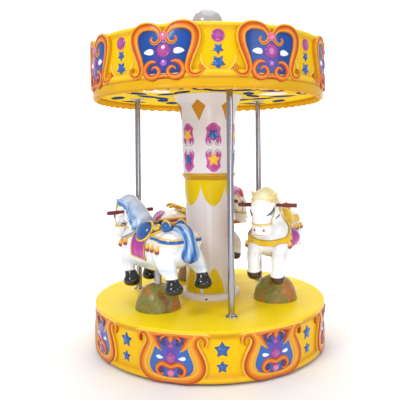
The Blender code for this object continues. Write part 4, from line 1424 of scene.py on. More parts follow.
        def blade(angle: float, circle: float, long: float, wide: float, turn: float, point: float = 0.6,
                number: int = 0) -> None:
            """Adds a thin pointed or oval plate under the ceiling.

            Args:
                angle: Angle of its middle round the axis.
                circle: Distance of its middle from the axis.
                long: Half its length.
                wide: Half its width.
                turn: Its turn away from the ring, in degrees.
                point: How pointed its ends are.
                number: Number of its finish.
            """
            middle, a = on_circle(angle, circle), radians(angle + turn)
            vertices, across = [], []
            for ring in range(4):
                share = ring / 3
                for t in turns(24):
                    u = long * cos(t) * (1 - share)
                    v = wide * sin(t) * abs(sin(t)) ** point * (1 - share)
                    x = middle.x + u * cos(a) + v * sin(a)
                    y = middle.y + u * sin(a) - v * cos(a)
                    vertices.append((x, y, z + 0.001 - (0.0 if ring == 0 else 0.0035)))
                    across.append(share)
            faces = [*bands(4, 24), tuple(range(72, 96)), tuple(range(24))[::-1]]
            bundle.take((vertices, faces), number, across)

        for angle in Poles.angles:
            blade(angle + 60, 0.435, 0.075, 0.105, 0, 0.0, 1)
            for side in (1, -1):
                blade(angle + 60 + 19 * side, 0.5, 0.115, 0.052, 60 * side)
                blade(angle + 60 + 14 * side, 0.3, 0.095, 0.042, -25 * side)
                blade(angle + 12 * side, 0.61, 0.115, 0.05, 25 * side)
                blade(angle + 20 * side, 0.4, 0.11, 0.046, -40 * side)
            blade(angle + 60, 0.62, 0.12, 0.046, 0)
            blade(angle, 0.33, 0.105, 0.046, 0)
        mesh = mesh_of("ceiling_ornament", (bundle.vertices, bundle.faces), bundle.numbers, across=bundle.across)
        add_piece("ceiling_ornament", mesh, [Finish.LEAF, Finish.PLAQUE])

    def roof(self) -> None:
        """Low domed roof inside the fascia."""
        profile = metres((0, 1972.2), (120, 1972), (300, 1960), (500, 1935), (650, 1908), (726.5, 1889),
            (726.5, 1883), (0, 1965))
        mesh = turned_mesh("roof_shell", profile, BIG_STEPS, closed=False)
        add_piece("roof_shell", mesh, [Finish.ROOF], ["canopy_roof"])

    def lamp(self) -> None:
        """Stepped lamp base and a ball lamp of grey-white glass."""
        profile = metres((0, 2012), (60, 2012, 4), (66, 2003, 4), (64, 1996, 3), (85, 1988, 6), (85, 1972.6),
            (0, 1972.6))
        turned_piece("lamp_collar", profile, 64, Finish.STEEL, ["lamp_base"], closed=False)
        radius, middle = 0.104, 2.0918
        rows = []
        for k in range(41):
            turn = pi * k / 40
            rows.append((radius * sin(turn), max(middle + radius * cos(turn), 2.0125)))
        mesh = turned_mesh("lamp_ball", rows, 72, closed=False)
        add_piece("lamp_ball", mesh, [Finish.GLOBE], ["lamp_globe"])


@dataclass
class Poles:
    """Three stainless poles between deck and ceiling, each with a screwed foot and a top plate."""

    angles: ClassVar[tuple[float, ...]] = (14.0, 134.0, -106.0)
    circle: ClassVar[float] = 0.51
    names: ClassVar[tuple[str, ...]] = ("front_pole", "right_pole", "left_pole")
    radius: float = 0.019

    def build(self) -> None:
        """Makes the tube, the foot with its screws and the top plate of each pole."""
        for name, angle in zip(self.names, self.angles):
            place = on_circle(angle, self.circle)
            centre = (place.x, place.y)
            r, low, high = self.radius, ON_DECK, UNDER_CEILING
            tube = [(r, high), (r, (low + high) / 2), (r, low), (r - 0.003, low), (r - 0.003, high)]
            turned_piece(f"{name}_tube", tube, POLE_STEPS, Finish.STEEL, [name], centre=centre)
            foot = [(r + 0.0003, low + 0.016), (0.0225, low + 0.0155, 0.002), (0.0245, low + 0.009, 0.003),
                (0.034, low + 0.006, 0.003), (0.036, low), (r + 0.0003, low)]
            turned_piece(f"{name}_foot_flange", foot, POLE_STEPS, Finish.STEEL, [f"{name}_foot"], centre=centre)
            cap = [(r + 0.0003, high - 0.014), (0.024, high - 0.013, 0.002), (0.026, high - 0.007, 0.003),
                (0.044, high - 0.005, 0.002), (0.046, high), (r + 0.0003, high)]
            turned_piece(f"{name}_ceiling_plate", cap, POLE_STEPS, Finish.STEEL, [f"{name}_top_plate"], centre=centre)
            for k in range(3):
                spot = place + on_circle(angle + 60 + 120 * k, 0.029)
                head = [(0.0, low + 0.0102), (0.0022, low + 0.0098), (0.0034, low + 0.0086), (0.0036, low + 0.006),
                    (0.0, low + 0.006)]
                screw = f"{name}_screw_{k + 1}"
                turned_piece(screw, head, 14, Finish.STEEL, (), closed=False, centre=(spot.x, spot.y))


@dataclass
class Rocks:
    """Sponge-painted rock mounds that the lift rods rise through.

    Attributes:
        height: Height of the mounds.
        bore: Radius of their bores.
        steps: Facets round a mound.
        rings: Facets up its side.
    """

    height: float = 0.1448
    bore: float = 0.0228
    steps: int = 72
    rings: int = 26

    def build(self) -> None:
        """Makes a lumpy bored dome for each rod."""
        for name, angle in ROD_ANGLES.items():
            centre = on_circle(angle, ROD_CIRCLE)
            low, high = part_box(f"{name}_rock")
            reach = min(high[0] - centre.x, centre.x - low[0], high[1] - centre.y, centre.y - low[1])
            mesh = mesh_of(f"{name}_rock_mound", self.mound(centre, reach))
            add_piece(f"{name}_rock_mound", mesh, [Finish.ROCK], [f"{name}_rock"], smooth=70.0)

    def mound(self, centre: Vector, reach: float) -> Shape:
        """One mound.

        Args:
            centre: Its middle.
            reach: Largest radius that it may have.

        Returns:
            Its vertices and faces.
        """
        vertices = []
        for i in range(self.rings + 1):
            share = i / self.rings
            radius = self.bore + (reach - self.bore) * cos(share * pi / 2) ** 0.85
            height = self.height * sin(share * pi / 2) ** 0.95
            calm = min(1.0, share * 5 + 0.25) * min(1.0, (1 - share) * 5)
            for turn in turns(self.steps):
                way = Vector((sin(turn), -cos(turn), 0.0))
                spot = centre + way * radius + Vector((0.0, 0.0, ON_DECK + height))
                lump = noise.fractal(spot * 17, 0.9, 2.2, 4) * 0.5 + noise.noise(spot * 7) * 0.6
                push = -0.01 * abs(lump) * calm - 0.004 * calm
                rise = max(0.0, height + push * 0.7 * share)
                vertices.append(centre + way * (radius + push) + Vector((0.0, 0.0, ON_DECK + rise)))
        foot = Vector((0.0, 0.0, ON_DECK))
        for turn in turns(self.steps):
            vertices.append(centre + Vector((sin(turn), -cos(turn), 0.0)) * self.bore + foot)
        return vertices, bands(self.rings + 2, self.steps, closed=True)


@dataclass
class Studio:
    """Pale floor, soft light and the photo's camera.

    Attributes:
        distance: Distance of the camera from the spin axis.
        eye: Height of the camera, which looks level.
        focal: Focal length as a share of the picture's width.
        axis_px: Where the spin axis meets the picture, from 0 to 1 across it.
        horizon_px: Where the camera's level meets the picture, from 0 to 1 down it.
        roll: Roll of the camera in degrees.
    """

    distance: float = 3.41
    eye: float = 1.222
    focal: float = 510.0 / 400.0
    axis_px: float = 208.5 / 400.0
    horizon_px: float = 153.7 / 400.0
    roll: float = 0.53

    def build(self) -> None:
        """Makes the floor, the lamps, the world and the camera."""
        self.floor()
        self.lights()
        self.world()
        self.camera()

    def floor(self) -> None:
        """A pale floor that curves up into a pale wall behind the carousel."""
        rows = [(-9.0, 0.0), (0.0, 0.0), (3.2, 0.0), (4.0, 0.12), (4.6, 0.55), (4.9, 1.3), (5.0, 3.0), (5.0, 9.0)]
        line = smooth_line(rows, 6)
        vertices = [(x, y, z) for y, z in line for x in (-12.0, 12.0)]
        faces = [(2 * i, 2 * i + 1, 2 * i + 3, 2 * i + 2) for i in range(len(line) - 1)]
        mesh = mesh_of("studio_floor", (vertices, faces))
        mesh.materials.append(Backdrop("studio_backdrop").material())
        mesh.shade_smooth()
        floor = placed("studio_floor", mesh)

    def lights(self) -> None:
        """A key from the front left, a fill from the right, one above, one low in front and one on the wall."""
        rows = (("key_light", (-2.6, -3.6, 3.6), 1.6, 84.0), ("fill_light", (3.4, -3.0, 2.2), 2.4, 34.0),
            ("top_light", (0.3, -0.6, 4.6), 3.4, 56.0), ("low_light", (0.4, -4.2, 0.5), 2.0, 26.0),
            ("wall_light", (0.0, 2.4, 4.8), 4.0, 150.0))
        for name, place, size, power in rows:
            data = bpy.data.lights.new(name, "AREA")
            data.shape, data.size, data.energy = "DISK", size, power
            lamp = placed(name, data)
            lamp.location = place
            aim = Vector((0.0, 4.6 if name == "wall_light" else 0.0, 1.0))
            lamp.rotation_euler = (aim - Vector(place)).to_track_quat("-Z", "Y").to_euler()

    def world(self) -> None:
        """Even pale surroundings."""
        world = bpy.data.worlds.new("studio_world")
        world.use_nodes = True
        sky = world.node_tree.nodes["Background"]
        sky.inputs["Color"].default_value = (0.96, 0.98, 1.0, 1.0)
        sky.inputs["Strength"].default_value = 0.58
        bpy.context.scene.world = world
        bpy.context.scene.view_settings.view_transform = "Standard"

    def camera(self) -> None:
        """Level camera in front of the carousel, its view shifted down to take it all in."""
        data = bpy.data.cameras.new("photo_camera")
        data.sensor_width = 36.0
        data.lens = self.focal * data.sensor_width
        data.shift_x = 0.5 - self.axis_px
        data.shift_y = self.horizon_px - 0.5
        data.clip_start, data.clip_end = 0.1, 60.0
        eye = placed("photo_camera", data)
        eye.location = (0.0, -self.distance, self.eye)
        eye.rotation_euler = (radians(90), 0.0, 0.0)
        eye.rotation_euler.rotate_axis("Z", radians(-self.roll))
        bpy.context.scene.camera = eye


class Stride(Enum):
    """Legs of a horse, each a line of (x, y, z, half width, half depth) stations from the body to the hoof."""

    GATHERED = (metres((180, 70, 345, 60, 68), (184, 80, 285, 47, 53), (178, 85, 238, 37, 41), (165, 86, 206, 34, 36),
        (156, 86, 186, 41, 42), (149, 86, 160, 54, 54), (144, 86, 134, 44, 46), (143, 86, 124, 22, 22)),
        metres((190, -70, 345, 60, 68), (212, -80, 288, 47, 53), (216, -85, 242, 37, 41), (204, -86, 209, 34, 36),
        (195, -86, 188, 41, 42), (188, -86, 162, 54, 54), (183, -86, 137, 44, 46), (182, -86, 127, 22, 22)),
        metres((-165, 70, 365, 78, 98), (-205, 95, 300, 56, 67), (-246, 102, 250, 38, 43), (-260, 102, 222, 34, 36),
        (-265, 102, 203, 41, 42), (-270, 102, 178, 55, 54), (-273, 102, 152, 45, 46), (-274, 102, 142, 22, 22)),
        metres((-170, -70, 368, 78, 98), (-235, -90, 312, 54, 63), (-280, -94, 265, 37, 41), (-294, -94, 237, 34, 36),
        (-299, -93, 216, 41, 42), (-304, -92, 190, 54, 54), (-308, -92, 164, 45, 46), (-309, -92, 154, 22, 22)))
    LEAPING = (metres((195, 72, 338, 58, 64), (262, 74, 292, 48, 52), (312, 70, 242, 41, 44), (322, 66, 198, 36, 38),
        (320, 64, 168, 40, 41), (314, 64, 140, 46, 45), (309, 64, 118, 36, 36), (307, 64, 108, 14, 14)),
        metres((192, -72, 340, 58, 64), (250, -78, 300, 48, 52), (290, -80, 254, 41, 44), (298, -79, 213, 36, 38),
        (294, -78, 186, 40, 41), (288, -77, 158, 46, 45), (283, -77, 136, 36, 36), (281, -77, 126, 14, 14)),
        metres((-160, 72, 355, 80, 102), (-222, 98, 310, 61, 71), (-290, 104, 286, 41, 45), (-328, 100, 273, 35, 37),
        (-350, 96, 266, 40, 41), (-374, 92, 258, 46, 44), (-394, 90, 252, 36, 34), (-403, 89, 249, 14, 14)),
        metres((-162, -72, 358, 80, 102), (-214, -96, 302, 60, 68), (-268, -102, 268, 40, 44),
        (-304, -99, 246, 35, 37), (-321, -96, 234, 40, 41), (-339, -94, 218, 46, 44), (-352, -92, 204, 36, 34),
        (-358, -92, 197, 14, 14)))


def lofted(stations: Sequence[Station], sides: int = 26, spans: int = 5) -> Shape:
    """Closed skin through oval sections that stand square to the line of their centres.

    Args:
        stations: (x, y, z, half width, half depth) of each section.
        sides: Points round a section.
        spans: Sections made between two stations.

    Returns:
        Its vertices and faces.
    """
    rows = smooth_line(stations, spans)
    centres = [Vector(row[:3]) for row in rows]
    vertices = []
    for i, row in enumerate(rows):
        along, side = heading(centres, i), Vector((0.0, 1.0, 0.0))
        side = (side - along * side.dot(along)).normalized()
        up = side.cross(along)
        wide, deep = max(row[3], 0.002), max(row[4], 0.002)
        for turn in turns(sides):
            vertices.append(centres[i] + side * (wide * cos(turn)) + up * (deep * sin(turn)))
    return vertices, bands(len(rows), sides, caps=True)


def oval_ball(centre: Point, radii: Point, pitch: float = 0.0, rings: int = 10, sides: int = 18) -> Shape:
    """Ellipsoid.

    Args:
        centre: Its middle.
        radii: Half its length, width and height.
        pitch: Turn of its nose upwards in degrees.
        rings: Facets from nose to tail.
        sides: Facets round it.

    Returns:
        Its vertices and faces.
    """
    tilt = Matrix.Rotation(-radians(pitch), 3, "Y")
    vertices = []
    for i in range(1, rings):
        a = pi * i / rings
        for b in turns(sides):
            spot = (radii[0] * cos(a), radii[1] * sin(a) * cos(b), radii[2] * sin(a) * sin(b))
            vertices.append(Vector(centre) + tilt @ Vector(spot))
    nose, first, end = tilt @ Vector((radii[0], 0, 0)), len(vertices), (rings - 2) * sides
    vertices += [Vector(centre) + nose, Vector(centre) - nose]
    faces = bands(rings - 1, sides)
    for k in range(sides):
        j = (k + 1) % sides
        faces += [(first, j, k), (first + 1, end + k, end + j)]
    return vertices, faces


@dataclass
class Bundle:
    """Parts gathered into one mesh, each with a finish number and marks for the shaders."""

    vertices: list = field(default_factory=list)
    faces: list = field(default_factory=list)
    numbers: list = field(default_factory=list)
    across: list = field(default_factory=list)
    strand: list = field(default_factory=list)

    def take(self, shape: Shape, finish: int = 0, across: Sequence[float] | None = None,
            strand: Sequence[float] | None = None) -> None:
        """Adds a shape.

        Args:
            shape: Its vertices and faces.
            finish: Number of its finish.
            across: Value of the attribute across at each vertex.
            strand: Value of the attribute strand at each vertex.
        """
        start = len(self.vertices)
        vertices, faces = shape
        self.vertices += vertices
        self.faces += [tuple(start + i for i in face) for face in faces]
        self.numbers += [finish] * len(faces)
        self.across += across or [0.5] * len(vertices)
        self.strand += strand or [0.5] * len(vertices)

    def tube(self, points: Sequence[Point], radius: float, finish: int, closed: bool = False, spans: int = 3) -> None:
        """Adds a round bar along a curve, thinner at open ends.

        Args:
            points: Points of its middle line.
            radius: Its radius.
            finish: Number of its finish.
            closed: True where it is a loop.
            spans: Steps between two points.
        """
        line = [Vector(p) for p in smooth_line(points, spans, closed)]
        count, sides = len(line), 10
        vertices, across = [], []
        side = None
        for i, spot in enumerate(line):
            along = heading(line, i, closed)
            side = along.orthogonal() if side is None else side
            side = (side - along * side.dot(along)).normalized()
            up = along.cross(side)
            swell = 1.0 if closed else min(1.0, 0.45 + 3.0 * min(i, count - 1 - i) / count)
            for turn in turns(sides):
                vertices.append(spot + (side * cos(turn) + up * sin(turn)) * radius * swell)
                # across runs round the bar; RIM_GOLD's stops paint shade on one side and a highlight on the other
                # with it.
                across.append(0.5 + 0.5 * sin(turn))
        self.take((vertices, bands(count, sides, closed, caps=not closed)), finish, across)

    def mesh(self, name: str) -> Mesh:
        """The gathered parts as one mesh with the attributes across and strand."""
        return mesh_of(name, (self.vertices, self.faces), self.numbers, across=self.across, strand=self.strand)


@dataclass(frozen=True)
class Tack:
    """Paint of one horse.

    Attributes:
        coat: White coat with its hooves.
        mane: Mane and tail.
        plume: Forelock.
        saddle: Wings and knobs of the saddle.
        seat: Seat of the saddle.
        collar: Breast collar.
        girth: Band round the haunches.
        blanket: Saddle blanket.
    """

    coat: Finish
    mane: Finish
    plume: Finish
    saddle: Finish
    seat: Finish
    collar: Finish
    girth: Finish
    blanket: Finish = Finish.BLANKET


Cast = Callable[[float, float], tuple[Vector, Vector]]


@dataclass
class Horse:
    """One horse on its lift rod, in a frame with x forward, y to its left and z over the deck.

    Attributes:
        name: Start of its pieces' names.
        lift: Height that it stands at in the rest pose.
        stride: Its legs.
        tack: Its paint.
        wide_collar: True for the broad collar that lies low on the chest.
        padding: Thickness of the blanket's middle.
        head_turn: Turn of the head in degrees, towards the horse's left.
        hoof_top: Height of the hoof's upper edge over the cuff's middle line.
        voxel: Grain of the coat's mesh.
        torso: Sections of the body.
        neck: Sections of the neck.
        head: Sections of the head.
    """

    name: str
    lift: float
    stride: Stride
    tack: Tack
    wide_collar: bool = False
    padding: float = 0.006
    head_turn: float = 0.0
    hoof_top: float = -0.006
    voxel: float = 0.0055
    torso: tuple[Station, ...] = tuple(metres((-288, 0, 392, 20, 22), (-278, 0, 392, 58, 56), (-250, 0, 390, 100, 92),
        (-190, 0, 385, 134, 118), (-100, 0, 368, 127, 129), (0, 0, 352, 116, 130), (100, 0, 358, 118, 132),
        (190, 0, 372, 117, 126), (252, 0, 388, 92, 100), (284, 0, 394, 50, 58), (292, 0, 396, 18, 22)))
    neck: tuple[Station, ...] = tuple(metres((80, 0, 385, 90, 104), (165, 0, 455, 80, 100), (224, 0, 532, 64, 80),
        (264, 0, 588, 56, 60), (282, 0, 620, 30, 30)))
    head: tuple[Station, ...] = tuple(metres((240, 0, 612, 24, 22), (272, 0, 607, 58, 46), (318, 0, 582, 73, 58),
        (344, 0, 538, 72, 60), (354, 0, 492, 59, 51), (358, 0, 452, 58, 49), (358, 0, 420, 60, 49),
        (356, 0, 398, 44, 37), (355, 0, 388, 16, 14)))

    def build(self) -> None:
        """Makes the horse from the coat out."""
        self.angle = ROD_ANGLES[self.name]
        place = on_circle(self.angle, ROD_CIRCLE, DECK_TOP + self.lift)
        self.matrix = Matrix.Translation(place) @ spun(self.angle + 180)
        self.coat()
        self.mane()
        self.tail()
        self.saddle()
        self.blanket()
        self.straps()
        self.face()
        self.handlebar()
        self.rod()

    def piece(self, part: str, shape: Bundle | Mesh, finishes: Sequence[Finish], nodes: Sequence[str] = (),
            smooth: float = 50.0) -> None:
        """Puts a shape made in the horse's frame onto the horse's body.

        Args:
            part: Name of the part.
            shape: Its parts or its mesh.
            finishes: Finishes by number.
            nodes: The horse's CAD nodes that it replaces.
            smooth: Edges sharper than this many degrees stay sharp.
        """
        mesh = shape.mesh(f"{self.name}_{part}") if isinstance(shape, Bundle) else shape
        named = [f"{self.name}_horse_{node}" for node in nodes]
        add_piece(f"{self.name}_horse_{part}", mesh, finishes, named, self.matrix, smooth, f"{self.name}_horse")

    def coat(self) -> None:
        """Body, neck, head, ears and legs melted into one smooth moulding."""
        shapes = [lofted(stations) for stations in (self.torso, self.neck, self.head, *self.stride.value)]
        shapes[2] = self.turned(shapes[2])
        for side in (1, -1):
            ear = ((0.292, 0.044 * side, 0.598, 0.022, 0.015), (0.303, 0.056 * side, 0.618, 0.018, 0.012),
                (0.315, 0.066 * side, 0.636, 0.011, 0.008), (0.322, 0.071 * side, 0.648, 0.003, 0.003))
            shapes.append(self.turned(lofted(ear, 14, 3)))
            shapes.append(self.turned(oval_ball((0.322, 0.048 * side, 0.52), (0.036, 0.032, 0.044))))
            shapes.append(self.turned(oval_ball((0.372, 0.052 * side, 0.552), (0.02, 0.018, 0.012), 20)))
            shapes.append(self.turned(oval_ball((0.384, 0.03 * side, 0.424), (0.018, 0.016, 0.016))))
            shapes.append(oval_ball((-0.205, 0.078 * side, 0.415), (0.078, 0.06, 0.07)))
            shapes.append(oval_ball((0.205, 0.07 * side, 0.35), (0.062, 0.052, 0.07)))
        parts = Bundle()
        for shape in shapes:
            parts.take(shape)
        rough = placed("rough_coat", mesh_of("rough_coat", (parts.vertices, parts.faces)))
        melt = rough.modifiers.new("melt", "REMESH")
        melt.mode, melt.voxel_size = "VOXEL", self.voxel
        ease = rough.modifiers.new("ease", "SMOOTH")
        ease.factor, ease.iterations = 0.5, 9
        mesh = baked([rough], f"{self.name}_coat")
        self.skin = BVHTree.FromPolygons([v.co.copy() for v in mesh.vertices],
            [tuple(p.vertices) for p in mesh.polygons])
        hoof = np.zeros(len(mesh.vertices), np.float32)
        spots = np.array([v.co[:] for v in mesh.vertices])
        for leg in self.stride.value:
            cuff, sole = np.array(leg[4][:3]), np.array(leg[7][:3])
            down = (sole - cuff) / np.linalg.norm(sole - cuff)
            reach = (spots - cuff) @ down
            aside = np.linalg.norm(spots - cuff - reach[:, None] * down, axis=1)
            edge = np.where((aside < 0.075) & (reach < 0.12), 0.5 + (reach + self.hoof_top) * 10, 0.0)
            hoof = np.maximum(hoof, edge)
        # Painted shade: shade grows from 0 high on the body to its most just below 0.285 m, round the belly and upper
        # legs, then eases off down the legs to the hooves; the coat's stops turn it bluish or warm grey there.
        shade = np.clip(0.5 - (spots[:, 2] - 0.275) * 2.4, 0, 0.62)
        shade = np.where(spots[:, 2] < 0.285, np.clip(0.62 - (0.285 - spots[:, 2]) * 6, 0, 1), shade)
        mark(mesh, "hoof", np.clip(hoof, 0, 1))
        mark(mesh, "shade", shade)
        self.piece("coat", mesh, [self.tack.coat], ["body"], 180.0)

    def turned(self, shape: Shape) -> Shape:
        """A shape turned with the head."""
        return [self.at_head(spot, spot)[0] for spot in shape[0]], shape[1]

    def at_head(self, inside: Point, way: Point, share: float = 1.0) -> tuple[Vector, Vector]:
        """A place and a direction on the head, turned with it.

        Args:
            inside: Place before the turn.
            way: Direction before the turn.
            share: Share of the turn, below 1 along the neck.

        Returns:
            The turned place and direction.
        """
        turn = Matrix.Rotation(radians(self.head_turn * share), 3, "Z")
        return turn @ (Vector(inside) - HEAD_PIVOT) + HEAD_PIVOT, turn @ Vector(way)

    def onto(self, inside: Point, way: Point, lift: float = 0.0) -> Vector:
        """Point of the coat met on the way in towards an inside point, then lifted outwards.

        Args:
            inside: A point inside the coat.
            way: Direction outwards.
            lift: Distance off the coat.

        Returns:
            The lifted point.
        """
        inside, way = Vector(inside), Vector(way).normalized()
        hit = self.skin.ray_cast(inside + way * CAST_REACH, -way)[0]
        return (hit if hit else inside + way * 0.1) + way * lift

    def sheet(self, cast: Cast, wide: int, long: int,
            lift: Callable[[float, float], float]) -> tuple[Shape, list, list]:
        """Thick sheet that lies on the coat.

        Args:
            cast: Gives an inside point and an outward direction, from (across, along) in 0..1.
            wide: Spans across.
            long: Spans along.
            lift: Lift of its top, from (across, along).

        Returns:
            The shape, and the across and along value of each vertex.
        """
        tops, roots, across, strand = [], [], [], []
        for i in range(long + 1):
            for j in range(wide + 1):
                u, v = j / wide, i / long
                inside, way = cast(u, v)
                spot = self.onto(inside, way)
                tops.append(spot + way.normalized() * lift(u, v))
                roots.append(spot - way.normalized() * SHEET_DEPTH)
                across.append(u)
                strand.append(v)
        count, row = len(tops), wide + 1
        faces = []
        for i in range(long):
            for j in range(wide):
                a = i * row + j
                faces.append((a, a + 1, a + row + 1, a + row))
                faces.append((count + a, count + a + row, count + a + row + 1, count + a + 1))
        rim = [*range(row), *(i * row + wide for i in range(1, long + 1))]
        rim += [*(long * row + j for j in range(wide - 1, -1, -1)), *(i * row for i in range(long - 1, 0, -1))]
        for k, a in enumerate(rim):
            b = rim[(k + 1) % len(rim)]
            faces.append((a, count + a, count + b, b))
        return (tops + roots, faces), across * 2, strand * 2

    def strap(self, bundle: Bundle, casts: Sequence[tuple[Vector, Vector]], half: float, thick: float, finish: int,
            closed: bool = False) -> None:
        """Adds a strap that hugs the coat.

        Args:
            bundle: Where it goes.
            casts: Inside point and outward direction of points on its middle line.
            half: Half its width.
            thick: Its thickness.
            finish: Number of its finish.
            closed: True where it is a loop.
        """
        line = [self.onto(inside, way) for inside, way in casts]
        rise = [(-0.86, thick * 0.95), (-0.5, thick), (0.0, thick), (0.5, thick), (0.86, thick * 0.95)]
        section = [(-1.0, -STRAP_DEPTH), (-1.0, thick * 0.55), *rise, (1.0, thick * 0.55), (1.0, -STRAP_DEPTH)]
        vertices, across, strand = [], [], []
        for i, spot in enumerate(line):
            out = casts[i][1].normalized()
            side = heading(line, i, closed).cross(out).normalized()
            for place, height in section:
                near, normal = self.skin.find_nearest(spot + side * (half * place))[:2]
                normal = normal if normal.dot(out) > 0 else -normal
                vertices.append(near + (normal + out).normalized() * height)
                across.append((place + 1) / 2)
                strand.append(i / max(len(line) - 1, 1))
        bundle.take((vertices, bands(len(line), len(section), closed, caps=not closed)), finish, across, strand)

    def mane(self) -> None:
        """Thick mane from the forehead over the poll to the withers, draped to both sides in locks."""
        crest = smooth_line(((0.344, 0.56, 0.75, 0.8), (0.322, 0.578, 0.55, 0.98), (0.286, 0.588, 0.2, 1.05),
            (0.252, 0.574, -0.25, 1.12), (0.22, 0.538, -0.48, 1.2), (0.19, 0.502, -0.6, 1.22),
            (0.16, 0.466, -0.66, 1.14), (0.134, 0.442, -0.66, 0.98)), 6)
        wide, long, forelock = 44, 90, 17

        def cast(u: float, v: float) -> tuple[Vector, Vector]:
            """From one lower edge over the crest to the other, and from forehead to withers.

            Args:
                u: Place across the mane.
                v: Place along it.

            Returns:
                Inside point and outward direction.
            """
            place = v * (len(crest) - 1)
            x, z, lean, reach = (float(np.interp(place, range(len(crest)), crest[:, k])) for k in range(4))
            edge = 1 + 0.05 * sin(v * 23) + 0.03 * sin(v * 51 + 1)
            turn = (u - 0.5) * 2 * reach * edge * 1.3
            back = Vector((lean, 0.0, 1.0)).normalized()
            way = back * cos(turn) + Vector((0.0, 1.0, 0.0)) * sin(turn)
            return self.at_head((x, 0.0, z), way, min(1.0, max(0.0, 1.4 - 2.2 * v)))

        def lift(u: float, v: float) -> float:
            """Rounded crest, grooves between the locks and thin edges.

            Args:
                u: Place across the mane.
                v: Place along it.

            Returns:
                Lift of its top.
            """
            middle = 1 - abs(u - 0.5) * 2
            ends = min(1.0, v * 8, (1 - v) * 6)
            locks = 0.0016 * noise.noise(Vector((middle * 2.2, v * 17.0, 3.0 + self.angle)))
            crown = (0.005 + 0.017 * middle**1.4) * ends**0.6 * min(1.0, middle * 6)
            return 0.0035 + crown + locks * min(1.0, middle * 5) * ends

        shape, across, strand = self.sheet(cast, wide, long, lift)
        tone = []
        for u, v in zip(across, strand):
            edge = max(0.0, (abs(u - 0.5) * 2 - 0.42) / 0.58)
            fine = noise.noise(Vector((abs(u - 0.5) * 26, v * 7.0, self.angle)))
            broad = noise.noise(Vector((abs(u - 0.5) * 5, v * 9.0, self.angle + 9.0)))
            tone.append(min(1.0, max(0.0, 0.84 + 0.2 * broad - edge**0.6 * (0.3 - 0.85 * fine - 0.5 * broad))))
        bundle = Bundle()
        bundle.take(shape, 0, across, tone)
        bundle.numbers = [int(n < 2 * wide * forelock) for n in range(len(bundle.faces))]
        self.piece("mane_locks", bundle, [self.tack.mane, self.tack.plume], ["mane"])

    def tail(self) -> None:
        """Tail that springs from the croup, falls in grooved locks and ends in a round tuft."""
        line = metres((-165, 0, 480, 16, 12), (-200, 0, 497, 40, 26), (-238, 0, 498, 44, 30), (-272, 0, 474, 42, 32),
            (-292, 0, 438, 37, 30), (-300, 0, 406, 42, 36), (-300, 0, 376, 53, 48), (-297, 0, 344, 53, 48),
            (-294, 0, 320, 34, 30), (-294, 0, 309, 12, 12))
        if self.stride is Stride.LEAPING:
            line = metres((-222, 0, 458, 14, 10), (-246, 0, 474, 36, 26), (-272, 0, 462, 38, 30)) + line[4:]
        sides = 48
        vertices, faces = lofted(line, sides, 8)
        rows = len(vertices) // sides
        across, strand = [], []
        for i in range(rows):
            ring = slice(i * sides, (i + 1) * sides)
            centre, share = sum(vertices[ring], Vector()) / sides, i / (rows - 1)
            low = 0.22 * min(1.0, max(0.0, (share - 0.55) / 0.3))
            for n, turn in enumerate(turns(sides), i * sides):
                flow, fine = sin(turn * 5 + i * 0.09), sin(turn * 11 - i * 0.13)
                vertices[n] = centre + (vertices[n] - centre) * (1 + 0.045 * flow + 0.03 * fine)
                across.append(share)
                strand.append(min(1.0, max(0.0, 0.5 + 0.34 * flow + 0.12 * fine - low)))
        bundle = Bundle()
        bundle.take((vertices, faces), 0, across, strand)
        self.piece("tail_locks", bundle, [self.tack.mane], ["tail"])

    def saddle(self) -> None:
        """Seat with a raised cantle, round wings in front, knobs and gold scrolls behind."""

        def cast(u: float, v: float) -> tuple[Vector, Vector]:
            """Across the back from side to side, and from the cantle to the pommel.

            Args:
                u: Place across the seat.
                v: Place along it.

            Returns:
                Inside point and outward direction.
            """
            turn = (u - 0.5) * 2 * (0.86 - 1.0 * max(0.0, 0.34 - v))
            return Vector((-0.14 + 0.185 * v, 0.0, 0.385)), Vector((0.0, sin(turn), cos(turn)))

        def lift(u: float, v: float) -> float:
            """Dished seat, low behind and slightly raised at the pommel.

            Args:
                u: Place across the seat.
                v: Place along it.

            Returns:
                Lift of its top.
            """
            rim = min(1.0, (1 - abs(u - 0.5) * 2) * 5)
            top = max(0.0, 1 - (abs(u - 0.5) * 1.7) ** 2)
            return 0.006 + rim * 0.007 + 0.012 * max(0.0, (v - 0.7) / 0.3) * top

        bundle = Bundle()
        shape, across, strand = self.sheet(cast, 30, 34, lift)
        # across runs from the horse's right to its left; the seat's stops paint the right side darker with it.
        bundle.take(shape, 0, across, strand)
        edge = [(0.0, k / 12) for k in range(13)] + [(k / 12, 1.0) for k in range(1, 12)]
        edge += [(1.0, 1 - k / 12) for k in range(13)] + [(1 - k / 12, 0.0) for k in range(1, 12)]
        bundle.tube([self.onto(*cast(u, v), lift(u, v) + 0.001) for u, v in edge], 0.007, 1, closed=True)
        cantle = [self.onto(*cast(u, 0.0), lift(u, 0.0) + 0.003) for u in np.linspace(0.1, 0.9, 11)]
        bundle.tube(cantle, 0.009, 1)
        for side in (1, -1):
            self.wing(bundle, side)
            self.rear_lobe(bundle, side)
            curl = []
            for k in range(15):
                turn, reach = 0.4 + k * 0.48, 0.031 - 0.0014 * k
                way = (0.0, (0.6 - 6.0 * reach * sin(turn)) * side, 0.78)
                curl.append(self.onto((-0.088 + reach * cos(turn), 0.0, 0.4), way, 0.028))
            bundle.tube(curl, 0.0105, 1)
            swoop = ((-0.066, 0.7, 0.02), (-0.048, 0.86, 0.016), (-0.024, 1.0, 0.012))
            line = [self.onto((x, 0.0, 0.4), (0.0, w * side, 0.62), high) for x, w, high in swoop]
            bundle.tube(line, 0.0085, 1, spans=4)
        self.piece("saddle_seat", bundle, [self.tack.seat, Finish.RIM_GOLD, self.tack.saddle], ["saddle"])

